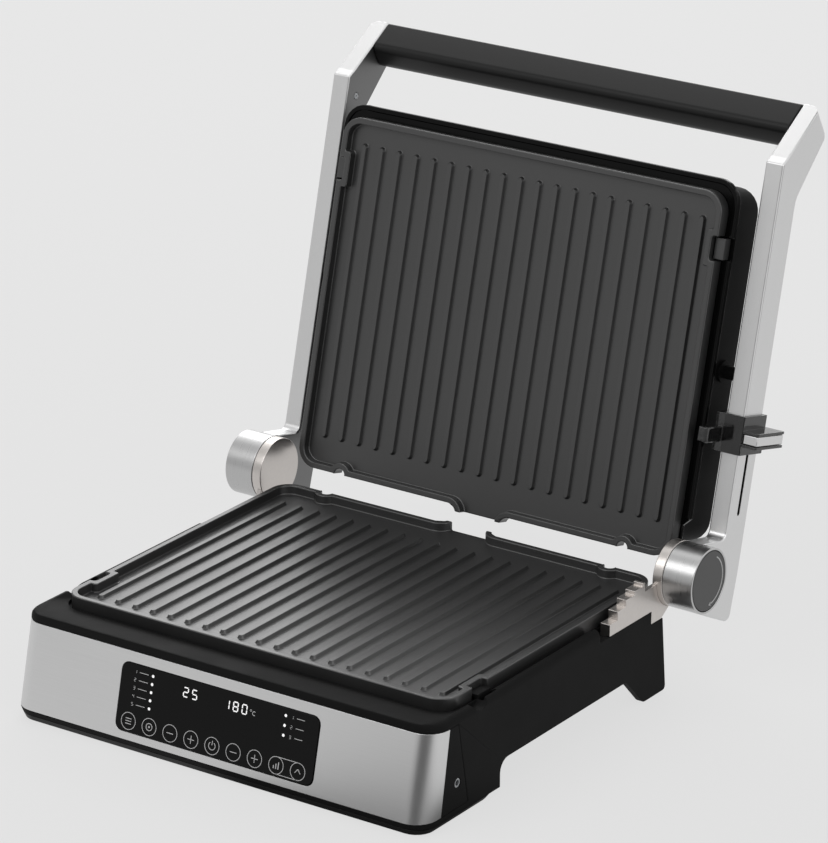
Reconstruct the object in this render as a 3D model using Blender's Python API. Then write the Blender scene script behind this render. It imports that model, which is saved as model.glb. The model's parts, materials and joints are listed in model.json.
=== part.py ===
"""Contact grill standing open: a base with a lower plate, and a lid that swings on two arms.

Metres, +Z up, X to the right, front towards -Y. Shapes are built round the middle of the lower
plate's ribs, and grill_origin then carries everything so that the box is centred on the table.
"""
import math

import bmesh
import bpy
from mathutils import Matrix, Vector

MM = 0.001
GAP = 0.3 * MM
OVERRUN = 3.0 * MM
ARC_ERROR = 0.15 * MM

# Driving sizes: half the base's width, the ribs' length and the height of their crests
BASE_HALF = 160.0 * MM
RIB_LENGTH = 203.5 * MM
RIB_PLANE = 71.0 * MM
RIB_END = RIB_LENGTH / 2

# Grill plates, the same casting below and above
SIDE_STRIP = 11.0 * MM
PLATE_HALF = BASE_HALF - SIDE_STRIP
RIB_COUNT = 20
RIB_FOOT = 5.4 * MM
RIB_CREST = 3.0 * MM
RIB_HEIGHT = 3.2 * MM
RIB_END_SLOPE = 1.8 * MM
PLATE_SIDE_MARGIN = 16.0 * MM
RIB_PITCH = (PLATE_HALF - PLATE_SIDE_MARGIN) * 2 / (RIB_COUNT - 1)
PLATE_FRONT_MARGIN = 17.0 * MM
PLATE_HINGE_MARGIN = 21.0 * MM
PLATE_CORNER = 14.0 * MM
PLATE_RIM = 3.8 * MM
PLATE_WALL = 4.2 * MM
PLATE_FLOOR = 2.6 * MM
PLATE_SKIRT = 3.0 * MM
SPOUT_HALF = 17.5 * MM
SPOUT_MOUTH_HALF = 26.0 * MM
SPOUT_REACH = 4.6 * MM
SPOUT_FILLET = 5.0 * MM
SPOUT_RIM_REACH = 1.2 * MM
PEG_NOTCH_IN = 35.7 * MM
PEG_NOTCH_X = PLATE_HALF - PEG_NOTCH_IN
PEG_NOTCH = 4.0 * MM
LATCH_NOTCH_BEHIND = 19.35 * MM
LATCH_NOTCH_Y = -RIB_END + LATCH_NOTCH_BEHIND
LATCH_NOTCH_LENGTH = 16.0 * MM
LATCH_NOTCH_DEPTH = 4.5 * MM

PLATE_FRONT = -RIB_END - PLATE_FRONT_MARGIN
PLATE_BACK = RIB_END + PLATE_HINGE_MARGIN
PLATE_FLOOR_TOP = -RIB_HEIGHT
PLATE_BOTTOM = -RIB_HEIGHT - PLATE_SKIRT
PLATE_SEAT = PLATE_BOTTOM - GAP

# Base housing
BASE_CORNER = 15.0 * MM
BASE_WALL = 5.0 * MM
DECK_DROP = 1.0 * MM
DECK_LEDGE = 28.2 * MM
DECK_ROUND = 4.5 * MM
TROUGH_SIDE = 5.0 * MM
TROUGH_FRONT = 12.8 * MM
TROUGH_DROP = 3.0 * MM
FRONT_LEAN = 13.0 * MM
LIP_TOP = 8.3 * MM
LIP_RETREAT = 3.6 * MM
COVER_SPLIT = 4.3 * MM
COVER_CHAMFER = 2.8 * MM
FOOT_PROUD = 0.6 * MM
ARCH_HEIGHT = 22.3 * MM
ARCH_ROUND = 12.0 * MM
FRONT_LEG_BEHIND = 26.75 * MM
FRONT_LEG_BACK = -RIB_END + FRONT_LEG_BEHIND
REAR_SLOPE_AHEAD = 30.75 * MM
REAR_LEG_SLOPE_TOP = RIB_END - REAR_SLOPE_AHEAD
REAR_LEG_AHEAD = 9.75 * MM
REAR_LEG_FRONT = RIB_END - REAR_LEG_AHEAD
REAR_LEG_WIDTH = 16.0 * MM
REAR_BLOCK_BEHIND = 2.25 * MM
REAR_LEG_BLOCK = RIB_END + REAR_BLOCK_BEHIND
BACK_TOP_BEHIND = 10.25 * MM
BASE_BACK_TOP = RIB_END + BACK_TOP_BEHIND
BACK_SPLAY = 7.0 * MM
BASE_BACK_FOOT = BASE_BACK_TOP + BACK_SPLAY
STAIR_NOTCH_AHEAD = 63.45 * MM
STAIR_NOTCH_Y = RIB_END - STAIR_NOTCH_AHEAD
STAIR_NOTCH_DROP = 9.7 * MM
REAR_NOTCH_AHEAD = 2.25 * MM
REAR_NOTCH_Y = RIB_END - REAR_NOTCH_AHEAD
REAR_NOTCH_DROP = 18.6 * MM
WELL_GAP = 1.5 * MM
PLATE_SEAT_WIDTH = 2.7 * MM
REFLECTOR_LEDGE_HALF = PLATE_HALF - PLATE_SEAT_WIDTH
REFLECTOR_LEDGE_BEHIND = 4.25 * MM
REFLECTOR_LEDGE_BACK = RIB_END + REFLECTOR_LEDGE_BEHIND
REFLECTOR_DROP = 17.6 * MM
WELL_IN = 9.0 * MM
WELL_HALF = PLATE_HALF - WELL_IN
WELL_AHEAD = 7.25 * MM
WELL_FRONT = -RIB_END - WELL_AHEAD
WELL_BACK_IN = 1.75 * MM
WELL_BACK = RIB_END - WELL_BACK_IN
WELL_DEPTH = 27.0 * MM
WELL_FLOOR = 2.6 * MM
HOUSING_FRONT_WALL = 3.0 * MM
REAR_WALL = 4.0 * MM
CAVITY_BACK = BASE_BACK_TOP - REAR_WALL
CAVITY_STEP_BEHIND = 7.0 * MM
CAVITY_STEP_Y = REAR_LEG_SLOPE_TOP + CAVITY_STEP_BEHIND
CAVITY_STEP_FLOOR = 2.7 * MM

DECK_TOP = RIB_PLANE - DECK_DROP
FRONT_TOP_Y = PLATE_FRONT - DECK_LEDGE
FRONT_BOTTOM_Y = FRONT_TOP_Y - FRONT_LEAN

# Fascia: steel skin, end caps and their screws
FASCIA_DROP = 5.6 * MM
FASCIA_TOP = DECK_TOP - FASCIA_DROP
FASCIA_THICK = 1.2 * MM
STEEL_WRAP_TOP = 16.55 * MM
STEEL_END_TOP_Y = FRONT_TOP_Y + STEEL_WRAP_TOP
STEEL_WRAP_BOTTOM = 19.95 * MM
STEEL_END_BOTTOM_Y = FRONT_BOTTOM_Y + STEEL_WRAP_BOTTOM
CAP_TOP_WIDTH = 8.8 * MM
CAP_END_TOP_Y = STEEL_END_TOP_Y + CAP_TOP_WIDTH
CAP_BOTTOM_WIDTH = 29.0 * MM
CAP_END_BOTTOM_Y = STEEL_END_BOTTOM_Y + CAP_BOTTOM_WIDTH
SCREW_AHEAD = 10.9 * MM
SCREW_Y = CAP_END_BOTTOM_Y - SCREW_AHEAD
SCREW_Z = 25.1 * MM
SCREW_HEAD = 3.1 * MM
SCREW_SHANK = 1.3 * MM
SCREW_SOCKET = 1.5 * MM
CAP_BOSS = 5.4 * MM
CAP_BOSS_DEPTH = 3.0 * MM
SCREW_SUNK = 2.2 * MM
SCREW_HEAD_THICK = 1.4 * MM
SCREW_LENGTH = 8.0 * MM

# Control panel in the sloping front
PANEL_HALF = 77.0 * MM
PANEL_TOP_DOWN = 7.3 * MM
PANEL_BOTTOM_UP = 5.29 * MM
PANEL_HEIGHT = math.hypot(FRONT_LEAN, FASCIA_TOP - LIP_TOP) - PANEL_TOP_DOWN - PANEL_BOTTOM_UP
PANEL_CORNER = 5.5 * MM
PANEL_PROUD = 0.5 * MM
PANEL_WINDOW_HALF = 58.0 * MM
PANEL_WINDOW_MARGIN = 6.0 * MM
BOARD_HALF = 68.0 * MM
BOARD_THICK = 1.6 * MM
BOARD_STANDOFF = 1.6 * MM
BOARD_BOSS = 3.0 * MM
BOARD_MARGIN = 2.0 * MM
DIGIT_BLOCK_HALF = 27.0 * MM
DIGIT_BLOCK_TOP = 9.0 * MM
DIGIT_BLOCK_HEIGHT = 14.0 * MM

# Hinge
HINGE_BEHIND = 25.45 * MM
HINGE_ABOVE = 8.7 * MM
LID_LEAN = math.radians(14)
HUB_RADIUS = 22.0 * MM
EYE_SUNK = 3.5 * MM
EYE_INNER = BASE_HALF - EYE_SUNK
EYE_PROUD = 3.6 * MM
EYE_OUTER = BASE_HALF + EYE_PROUD
AXLE_RADIUS = 6.0 * MM
AXLE_EMBED = 4.8 * MM
AXLE_REACH = 8.0 * MM
CAP_DISC = 20.2 * MM
CAP_DISC_THICK = 2.8 * MM
BUTTON_TRAVEL = 2.5 * MM
BUTTON_STEM = 4.0 * MM
BUTTON_STEM_LENGTH = 3.0 * MM
SPRING_BORE = 9.0 * MM
SPRING_TURNS = 4
SPRING_WIRE = 0.6 * MM

HINGE_Y = RIB_END + HINGE_BEHIND
HINGE_Z = RIB_PLANE + HINGE_ABOVE

# Hinge brackets
BRACKET_IN = 7.3 * MM
BRACKET_INNER = BASE_HALF - BRACKET_IN
BRACKET_SKIN = 2.8 * MM
BRACKET_BOTTOM = 44.3 * MM
BRACKET_BEHIND = 11.4 * MM
BRACKET_FRONT = STAIR_NOTCH_Y + BRACKET_BEHIND
BRACKET_FOOT_TOP = 5.0 * MM
STAIR_TREADS = [8.9 * MM, 9.8 * MM, 10.2 * MM, 10.2 * MM, 2.5 * MM]
STAIR_TOPS = [-1.3 * MM, 4.8 * MM, 9.4 * MM, 12.0 * MM, 13.9 * MM]
STAIR_RUNS = [BRACKET_FRONT + sum(STAIR_TREADS[:index]) for index in range(len(STAIR_TREADS))]
STAIR_END = BRACKET_FRONT + sum(STAIR_TREADS)
WEB_TOP = 7.6 * MM
EYE_SHARE = 0.8

# Arms
ARM_INNER = EYE_OUTER + GAP
ARM_THICK = 13.3 * MM
ARM_OUTER = ARM_INNER + ARM_THICK
HUB_PROUD = 8.8 * MM
HUB_OUTER = ARM_OUTER + HUB_PROUD
LID_PLATE_START = 26.2 * MM
ARM_FRONT = -29.2 * MM
ARM_DEPTH = 24.1 * MM
ARM_BACK = ARM_FRONT - ARM_DEPTH
ARM_EDGE = 0.9 * MM
HEEL_DROP = 34.3 * MM
HEEL_STEP = 1.8 * MM
HEEL_BACK = ARM_BACK + HEEL_STEP
ARM_BEND_FRONT = 270.0 * MM
ARM_BEND_BACK = 247.0 * MM
SLANT_ABOVE = 44.3 * MM
SLANT_START = LID_PLATE_START + RIB_LENGTH + SLANT_ABOVE
SLANT_SETBACK = 4.8 * MM
SLANT_START_FRONT = ARM_FRONT - SLANT_SETBACK
SLANT_LENGTH = 48.6 * MM
ARM_TIP_DEPTH = 23.1 * MM
ARM_TIP_LEAN = 6.6 * MM
BLIND_DEPTH = 6.0 * MM

# Handle
HANDLE_FLAT_BACK = 9.9 * MM
HANDLE_FLAT_FRONT = 14.5 * MM
HANDLE_DEPTH = 23.6 * MM
HANDLE_MID_DOWN = 10.4 * MM
HANDLE_BELLY_BACK = 3.8 * MM
ROD_RADIUS = 4.0 * MM
ROD_DOWN = 12.0 * MM
ROD_FORWARD = 2.0 * MM
ARM_SCREW_BELOW = 17.2 * MM
ARM_SCREW_UP = SLANT_START - ARM_SCREW_BELOW
ARM_SCREW_SETBACK = 11.2 * MM
ARM_SCREW_FRONT = ARM_FRONT - ARM_SCREW_SETBACK
ARM_SCREW_HEAD = 2.2 * MM
ARM_SCREW_THICK = 1.2 * MM
ARM_SCREW_LENGTH = 5.0 * MM

# Height slider on the right arm
SLIDER_BOTTOM = 79.4 * MM
SLIDER_LENGTH = 25.6 * MM
SLIDER_TOP = SLIDER_BOTTOM + SLIDER_LENGTH
SLIDER_INNER_WALL = 6.0 * MM
SLIDER_FRONT_WALL = 2.1 * MM
SLIDER_OUTER_WALL = 1.8 * MM
SLIDER_BACK_WALL = 2.6 * MM
FLANGE_ABOVE = 5.8 * MM
FLANGE_LOW = SLIDER_BOTTOM + FLANGE_ABOVE
FLANGE_APART = 9.0 * MM
FLANGE_HIGH = FLANGE_LOW + FLANGE_APART
FLANGE_THICK = 1.9 * MM
FLANGE_PROUD = 13.3 * MM
FLANGE_OUT = ARM_OUTER + FLANGE_PROUD
FLANGE_BEHIND = 8.7 * MM
FLANGE_BACK = ARM_BACK - FLANGE_BEHIND
FLANGE_SETBACK = 0.6 * MM
FINGER_REACH = 8.2 * MM
FINGER_INNER = ARM_INNER - FINGER_REACH
FINGER_AHEAD = 20.0 * MM
FINGER_FRONT = ARM_FRONT + FINGER_AHEAD
SLIDER_PIN = 1.2 * MM
SLIDER_PIN_ABOVE = 4.6 * MM
SLIDER_PIN_UP = SLIDER_BOTTOM + SLIDER_PIN_ABOVE
SLOT_HALF = 1.45 * MM
SLOT_BOTTOM = 38.3 * MM
SLOT_DEPTH = 4.2 * MM

# Upper housing
LID_PLATE_SETBACK = 12.1 * MM
FLOAT_ABOVE = 0.75 * MM
FLOAT_UP = LID_PLATE_START + RIB_END + FLOAT_ABOVE
FLOAT_SETBACK = 12.1 * MM
FLOAT_BACK = -ARM_FRONT + FLOAT_SETBACK
FLOAT_PIN = 4.5 * MM
FLOAT_FLANGE = 7.3 * MM
FLOAT_FLANGE_THICK = 1.6 * MM
FLOAT_PIN_INNER = 4.5 * MM
FRAME_SIDE_OUT = 6.0 * MM
FRAME_FRONT_OUT = 8.0 * MM
FRAME_CORNER = 16.0 * MM
FRAME_HINGE_END = 14.5 * MM
FRAME_NOTCH = 5.0 * MM
FRAME_NOTCH_START = 6.3 * MM
FRAME_THICK = 3.3 * MM
FRAME_LIP = 3.2 * MM
FRAME_LIP_RISE = 1.2 * MM
FRAME_WINDOW_IN = 8.0 * MM
SPIGOT_WALL = 2.0 * MM
SPIGOT_LENGTH = 6.2 * MM
COVER_FRONT_OUT = 0.5 * MM
COVER_WALL = 2.5 * MM
COVER_DEPTH = 36.0 * MM
COVER_CORNER = 15.0 * MM
COVER_ROUND = 4.0 * MM

# Parts behind each plate
ELEMENT_RADIUS = 3.5 * MM
ELEMENT_INSET = 24.0 * MM
ELEMENT_BEND = 20.0 * MM
ELEMENT_TAIL_X = 24.0 * MM
REFLECTOR_SHEET = 1.0 * MM
REFLECTOR_PAN_DEPTH = 7.5 * MM
REFLECTOR_FLANGE = 8.0 * MM
REFLECTOR_BACK = REFLECTOR_LEDGE_BACK - GAP
THERMOSTAT_CAP = 7.0 * MM
THERMOSTAT_CAP_THICK = 5.0 * MM
THERMOSTAT_STEM = 3.5 * MM
THERMOSTAT_Y = 30.0 * MM

# Plate latches
LATCH_THICK = 3.0 * MM
LATCH_HOOK_THICK = 2.0 * MM
LATCH_POST_GAP = 0.4 * MM
LATCH_END_GAP = 1.0 * MM
LATCH_TRAVEL = 4.0 * MM
LATCH_POCKET = 2.2 * MM
SCOOP_RADIUS = 9.0 * MM
SCOOP_REACH = 8.0 * MM
SCOOP_INNER = BASE_HALF - SCOOP_REACH
SCOOP_AHEAD = 14.1 * MM
SCOOP_Y = LATCH_NOTCH_Y - SCOOP_AHEAD
SCOOP_UP = 2.5 * MM

# Base fittings
FOOT_RADIUS = 8.0 * MM
FOOT_THICK = 1.8 * MM
FRONT_FOOT_IN = 32.0 * MM
FRONT_FOOT_X = BASE_HALF - FRONT_FOOT_IN
FRONT_FOOT_AHEAD = 16.25 * MM
FRONT_FOOT_Y = -RIB_END - FRONT_FOOT_AHEAD
REAR_FOOT_IN = 8.0 * MM
REAR_FOOT_X = BASE_HALF - REAR_FOOT_IN
REAR_FOOT_BEHIND = 6.6 * MM
REAR_FOOT_Y = REAR_LEG_BLOCK + REAR_FOOT_BEHIND
REAR_FOOT_RADIUS = 6.0 * MM
COVER_SHEET = 2.2 * MM
POWER_BOARD_HALF_X = 50.0 * MM
POWER_BOARD_HALF_Y = 40.0 * MM
POWER_BOARD_Y = -10.0 * MM
POST_RADIUS = 3.0 * MM
POST_HEIGHT = 4.0 * MM
RELAY_SIZE = (20.0 * MM, 15.0 * MM, 6.0 * MM)
GLAND_X = -100.0 * MM
GLAND_Z = 33.2 * MM
GLAND_RADIUS = 6.0 * MM
GLAND_FLANGE = 9.0 * MM
GLAND_COLLAR = 7.5 * MM
GLAND_FLANGE_THICK = 2.2 * MM
GLAND_BORE = 3.4 * MM
GLAND_RECESS_HALF = 12.0 * MM

# Drip tray and its rails
TRAY_HALF = 70.0 * MM
TRAY_AHEAD = 9.75 * MM
TRAY_FRONT = RIB_END - TRAY_AHEAD
TRAY_DEPTH = 48.0 * MM
TRAY_BACK = TRAY_FRONT + TRAY_DEPTH
TRAY_LOW = 2.0 * MM
TRAY_TOP = 12.0 * MM
TRAY_WALL = 1.8 * MM
TRAY_FLANGE = 4.0 * MM
TRAY_FLANGE_THICK = 1.5 * MM
TRAY_PULL = 7.0 * MM
RAIL_WEB = 2.2 * MM
RAIL_AHEAD = 10.0 * MM
RAIL_FRONT = TRAY_FRONT - RAIL_AHEAD
RAIL_BEHIND = 3.0 * MM
RAIL_BACK = BASE_BACK_TOP + RAIL_BEHIND


def arc_step(radius):
    """Angle between points that keeps an arc within ARC_ERROR of its chords."""
    return 2 * math.acos(1 - min(0.3, ARC_ERROR / radius))


def rounded(corners):
    """Closed outline through corners (a, b) or (a, b, radius), each radius drawn as an arc."""
    outline = []
    count = len(corners)
    for index, corner in enumerate(corners):
        here = Vector(corner[:2])
        radius = corner[2] if len(corner) > 2 else 0
        if radius <= 0:
            outline.append(tuple(here))
            continue
        before = Vector(corners[index - 1][:2]) - here
        after = Vector(corners[(index + 1) % count][:2]) - here
        opening = before.angle(after)
        reach = radius / math.tan(opening / 2)
        limit = 0.49 * min(before.length, after.length)
        if reach > limit:
            radius *= limit / reach
        before.normalize()
        after.normalize()
        centre = here + (before + after).normalized() * (radius / math.sin(opening / 2))
        start = here + before * (radius / math.tan(opening / 2)) - centre
        turn = math.pi - opening
        if before.x * after.y - before.y * after.x > 0:
            turn = -turn
        steps = max(1, math.ceil(abs(turn) / arc_step(radius)))
        for step in range(steps + 1):
            spin = Matrix.Rotation(turn * step / steps, 2)
            outline.append(tuple(centre + spin @ start))
    return outline


def circle(centre_a, centre_b, radius, sides=0):
    """Closed round outline."""
    sides = sides or 4 * math.ceil(math.tau / 4 / arc_step(radius))
    angles = [math.tau * index / sides for index in range(sides)]
    return [(centre_a + radius * math.cos(t), centre_b + radius * math.sin(t)) for t in angles]


def rectangle(low_a, high_a, low_b, high_b, radius=0):
    """Closed rectangle with rounded corners."""
    corners = [(low_a, low_b), (high_a, low_b), (high_a, high_b), (low_a, high_b)]
    return rounded([(a, b, radius) for a, b in corners])


def solid(points, faces):
    """New object from points and faces, its faces turned outwards."""
    mesh = bpy.data.meshes.new("piece")
    mesh.from_pydata([tuple(point) for point in points], [], faces)
    work = bmesh.new()
    work.from_mesh(mesh)
    bmesh.ops.recalc_face_normals(work, faces=work.faces)
    work.to_mesh(mesh)
    work.free()
    piece = bpy.data.objects.new("piece", mesh)
    bpy.context.collection.objects.link(piece)
    return piece


def loft(rings):
    """Closed body through rings of equal point counts, with flat ends."""
    count = len(rings[0])
    points = [point for ring in rings for point in ring]
    faces = [list(range(count)), list(range(len(points) - count, len(points)))]
    for layer in range(len(rings) - 1):
        low = layer * count
        for index in range(count):
            following = (index + 1) % count
            faces.append([low + index, low + following, low + count + following, low + count + index])
    return solid(points, faces)


def prism(outline, axis, low, high):
    """Outline drawn square to an axis and pulled along it from low to high."""
    if axis == "X":
        rings = [[(level, a, b) for a, b in outline] for level in (low, high)]
    elif axis == "Y":
        rings = [[(a, level, b) for a, b in outline] for level in (low, high)]
    else:
        rings = [[(a, b, level) for a, b in outline] for level in (low, high)]
    return loft(rings)


def box(low_x, high_x, low_y, high_y, low_z, high_z):
    """Plain block."""
    return prism(rectangle(low_x, high_x, low_y, high_y), "Z", low_z, high_z)


def turned(profile, sides=28):
    """Body of revolution round X from an open profile (x, radius) that ends on the axis."""
    points = []
    rings = []
    for along, radius in profile:
        first = len(points)
        if radius == 0:
            points.append((along, 0, 0))
            rings.append([first] * sides)
            continue
        for a, b in circle(0, 0, radius, sides):
            points.append((along, a, b))
        rings.append(list(range(first, first + sides)))
    faces = []
    for left, right in zip(rings, rings[1:]):
        for index in range(sides):
            following = (index + 1) % sides
            corners = [left[index], left[following], right[following], right[index]]
            corners = list(dict.fromkeys(corners))
            if len(corners) > 2:
                faces.append(corners)
    return solid(points, faces)


def rod(axis_y, axis_z, low_x, high_x, radius, sides=0):
    """Round bar along X."""
    return prism(circle(axis_y, axis_z, radius, sides), "X", low_x, high_x)


def moved(piece, matrix):
    """Shift the points of a piece."""
    piece.data.transform(matrix)
    return piece


def combine(body, operation, tools):
    """Boolean the tools into the body one after another, and keep the finished mesh."""
    for tool in tools:
        step = body.modifiers.new(operation.lower(), "BOOLEAN")
        step.operation = operation
        step.solver = "EXACT"
        step.object = tool
        bpy.context.view_layer.update()
        evaluated = body.evaluated_get(bpy.context.evaluated_depsgraph_get())
        mesh = bpy.data.meshes.new_from_object(evaluated)
        body.modifiers.clear()
        body.data = mesh
        bpy.data.objects.remove(tool)
    return body


def cut(body, *tools):
    return combine(body, "DIFFERENCE", tools)


def join(body, *tools):
    return combine(body, "UNION", tools)


def keep_common(body, *tools):
    return combine(body, "INTERSECT", tools)


def soften(piece, width, segments=2, angle=math.radians(50)):
    """Round the sharp edges of a piece."""
    work = bmesh.new()
    work.from_mesh(piece.data)
    edges = [edge for edge in work.edges if len(edge.link_faces) == 2
             and edge.calc_face_angle() > angle]
    bmesh.ops.bevel(work, geom=edges, offset=width, segments=segments, profile=0.5,
                    affect="EDGES", clamp_overlap=True)
    bmesh.ops.recalc_face_normals(work, faces=work.faces)
    work.to_mesh(piece.data)
    work.free()
    return piece


def material(name, colour, roughness, metallic):
    """Principled material with an sRGB colour given as hex."""
    made = bpy.data.materials.new(name)
    made.use_nodes = True
    shader = made.node_tree.nodes["Principled BSDF"]
    channels = [int(colour[index:index + 2], 16) / 255 for index in (0, 2, 4)]
    linear = [((c + 0.055) / 1.055) ** 2.4 if c > 0.04 else c / 12.92 for c in channels]
    shader.inputs["Base Color"].default_value = (*linear, 1)
    shader.inputs["Roughness"].default_value = roughness
    shader.inputs["Metallic"].default_value = metallic
    return made


def finish(piece, name, finish_material, carrier):
    """Name a finished piece, give it its material and hang it on its carrier."""
    piece.name = name
    piece.data.name = name
    piece.data.materials.clear()
    piece.data.materials.append(finish_material)
    piece.data.shade_smooth()
    piece.data.set_sharp_from_angle(angle=math.radians(35))
    piece.parent = carrier
    return piece


def empty(name, parent, location, lean=0):
    """Empty on a joint's axis."""
    made = bpy.data.objects.new(name, None)
    bpy.context.collection.objects.link(made)
    made.parent = parent
    made.location = location
    made.rotation_euler.x = -lean
    return made


def mirrored(outline_x, side):
    """Ordered low and high X of a span on one side of the grill."""
    return sorted(side * value for value in outline_x)


# Outlines shared by several pieces

def plan_ring(level, front, half, corner, back):
    """Plan outline of the base at one height: round front corners, square back."""
    outline = rounded([(-half, back), (-half, front, corner), (half, front, corner), (half, back)])
    return [(a, b, level) for a, b in outline]


def fascia_front(level):
    """Y of the sloping front at a height."""
    share = (FASCIA_TOP - level) / (FASCIA_TOP - LIP_TOP)
    return FRONT_TOP_Y - FRONT_LEAN * share


def front_body(inset, low, high, back):
    """Lofted front with the fascia's slope, drawn in by an inset."""
    rings = []
    for level in (low, high):
        rings.append(plan_ring(level, fascia_front(level) + inset, BASE_HALF - inset,
                               BASE_CORNER - inset, back))
    return loft(rings)


def slant_box(top_y, bottom_y, low, high, half):
    """Everything ahead of a slanted cut line, as a block."""
    share = (FASCIA_TOP - LIP_TOP)
    top = top_y + (top_y - bottom_y) * (high - FASCIA_TOP) / share
    bottom = bottom_y - (top_y - bottom_y) * (LIP_TOP - low) / share
    far = FRONT_BOTTOM_Y - BASE_CORNER
    outline = [(far, low), (bottom, low), (top, high), (far, high)]
    return prism(outline, "X", -half, half)


def panel_matrix():
    """Frame of the control panel: X across, Y up the slope, Z out of the front."""
    up = Vector((0, FRONT_LEAN, FASCIA_TOP - LIP_TOP)).normalized()
    out = Vector((1, 0, 0)).cross(up)
    turn = Matrix(((1, 0, 0), up, out)).transposed().to_4x4()
    return Matrix.Translation((0, FRONT_TOP_Y, FASCIA_TOP)) @ turn


def panel_outline(clearance):
    """Rounded control panel in the panel's frame."""
    top = -PANEL_TOP_DOWN - clearance
    low = -PANEL_TOP_DOWN - PANEL_HEIGHT + clearance
    half = PANEL_HALF - clearance
    return rectangle(-half, half, low, top, PANEL_CORNER)


def panel_window():
    """Opening in the housing's front wall behind the glass."""
    top = -PANEL_TOP_DOWN - PANEL_WINDOW_MARGIN
    low = -PANEL_TOP_DOWN - PANEL_HEIGHT + PANEL_WINDOW_MARGIN
    return rectangle(-PANEL_WINDOW_HALF, PANEL_WINDOW_HALF, low, top, PANEL_CORNER)


def board_corners():
    """Places of the display board's standoffs in the panel's frame."""
    across = BOARD_HALF - BOARD_BOSS
    top = -PANEL_TOP_DOWN - BOARD_MARGIN - BOARD_BOSS
    low = -PANEL_TOP_DOWN - PANEL_HEIGHT + BOARD_MARGIN + BOARD_BOSS
    return [(x, y) for x in (-across, across) for y in (low, top)]


# Grill plates

def plate_outline(inset):
    """Plate seen from above, with its notches and spout, drawn in by an inset."""
    side = PLATE_HALF - inset
    front = PLATE_FRONT + inset
    back = PLATE_BACK - inset
    corner = PLATE_CORNER - inset
    notch = LATCH_NOTCH_LENGTH / 2 + inset
    notch_x = side - LATCH_NOTCH_DEPTH
    notch_round = LATCH_NOTCH_DEPTH / 2
    mouth = SPOUT_MOUTH_HALF - inset / 2
    tongue = SPOUT_HALF - inset
    reach = PLATE_BACK + SPOUT_REACH + (OVERRUN if inset else 0)
    peg = PEG_NOTCH + inset
    fillet = SPOUT_FILLET
    right = [(side, front, corner),
             (side, LATCH_NOTCH_Y - notch, notch_round), (notch_x, LATCH_NOTCH_Y - notch, notch_round),
             (notch_x, LATCH_NOTCH_Y + notch, notch_round), (side, LATCH_NOTCH_Y + notch, notch_round),
             (side, back, corner),
             (PEG_NOTCH_X + peg, back, inset / 2), (PEG_NOTCH_X + peg, PLATE_BACK - peg, peg),
             (PEG_NOTCH_X - peg, PLATE_BACK - peg, peg), (PEG_NOTCH_X - peg, back, inset / 2),
             (mouth, back, fillet), (tongue, back + fillet / 2, fillet), (tongue, reach)]
    left = [(-corner_[0], *corner_[1:]) for corner_ in reversed(right)]
    return rounded(right + left)


def flange_outline():
    """Plate outline without the latch notches, for the flat flange under the rim."""
    corners = [(PLATE_HALF, PLATE_FRONT), (PLATE_HALF, PLATE_BACK)]
    right = [(x, y, PLATE_CORNER) for x, y in corners]
    left = [(-x, y, r) for x, y, r in reversed(right)]
    return rounded(right + left)


def rib(centre_x):
    """One rib with sloping sides and ends, sunk a little into the floor."""
    sunk = PLATE_FLOOR / 2
    low = PLATE_FLOOR_TOP - sunk
    half = RIB_END
    foot = rectangle(centre_x - RIB_FOOT / 2, centre_x + RIB_FOOT / 2, -half, half)
    crest_half = half - RIB_END_SLOPE
    crest = rectangle(centre_x - RIB_CREST / 2, centre_x + RIB_CREST / 2, -crest_half, crest_half)
    rings = [[(x, y, low) for x, y in foot], [(x, y, PLATE_FLOOR_TOP) for x, y in foot],
             [(x, y, 0) for x, y in crest]]
    return loft(rings)


def grill_plate():
    """Ribbed plate in its own frame: ribs' crests at zero, hinge towards +Y."""
    floor_low = PLATE_FLOOR_TOP - PLATE_FLOOR
    plate = prism(plate_outline(0), "Z", floor_low, PLATE_RIM)
    flange = prism(flange_outline(), "Z", PLATE_BOTTOM, PLATE_FLOOR_TOP)
    pegs = [prism(circle(side * PEG_NOTCH_X, PLATE_BACK, PEG_NOTCH), "Z", PLATE_BOTTOM - OVERRUN, 0)
            for side in (-1, 1)]
    under = prism(rectangle(-PLATE_HALF + PLATE_WALL, PLATE_HALF - PLATE_WALL,
                            PLATE_FRONT + PLATE_WALL, PLATE_BACK - PLATE_WALL, PLATE_CORNER),
                  "Z", PLATE_BOTTOM - OVERRUN, floor_low)
    cut(flange, under, *pegs)
    pocket = prism(plate_outline(PLATE_WALL), "Z", PLATE_FLOOR_TOP, PLATE_RIM + OVERRUN)
    open_tongue = box(-SPOUT_MOUTH_HALF, SPOUT_MOUTH_HALF, PLATE_BACK + SPOUT_RIM_REACH,
                      PLATE_BACK + SPOUT_REACH + OVERRUN, PLATE_FLOOR_TOP, PLATE_RIM + OVERRUN)
    cut(plate, pocket, open_tongue)
    join(plate, flange)
    for index in range(RIB_COUNT):
        join(plate, rib((index - (RIB_COUNT - 1) / 2) * RIB_PITCH))
    return plate


# Parts behind each plate, in the plate's frame

def tube_along(route, radius, sides):
    """Round tube along a route of points, with flat ends."""
    points = [Vector(point) for point in route]
    rings = []
    across = None
    for index, here in enumerate(points):
        ahead = points[min(index + 1, len(points) - 1)]
        behind = points[max(index - 1, 0)]
        heading = (ahead - behind).normalized()
        if across is None:
            across = heading.orthogonal().normalized()
        across = (across - heading * across.dot(heading)).normalized()
        other = heading.cross(across)
        rings.append([here + across * a + other * b for a, b in circle(0, 0, radius, sides)])
    return loft(rings)


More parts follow.
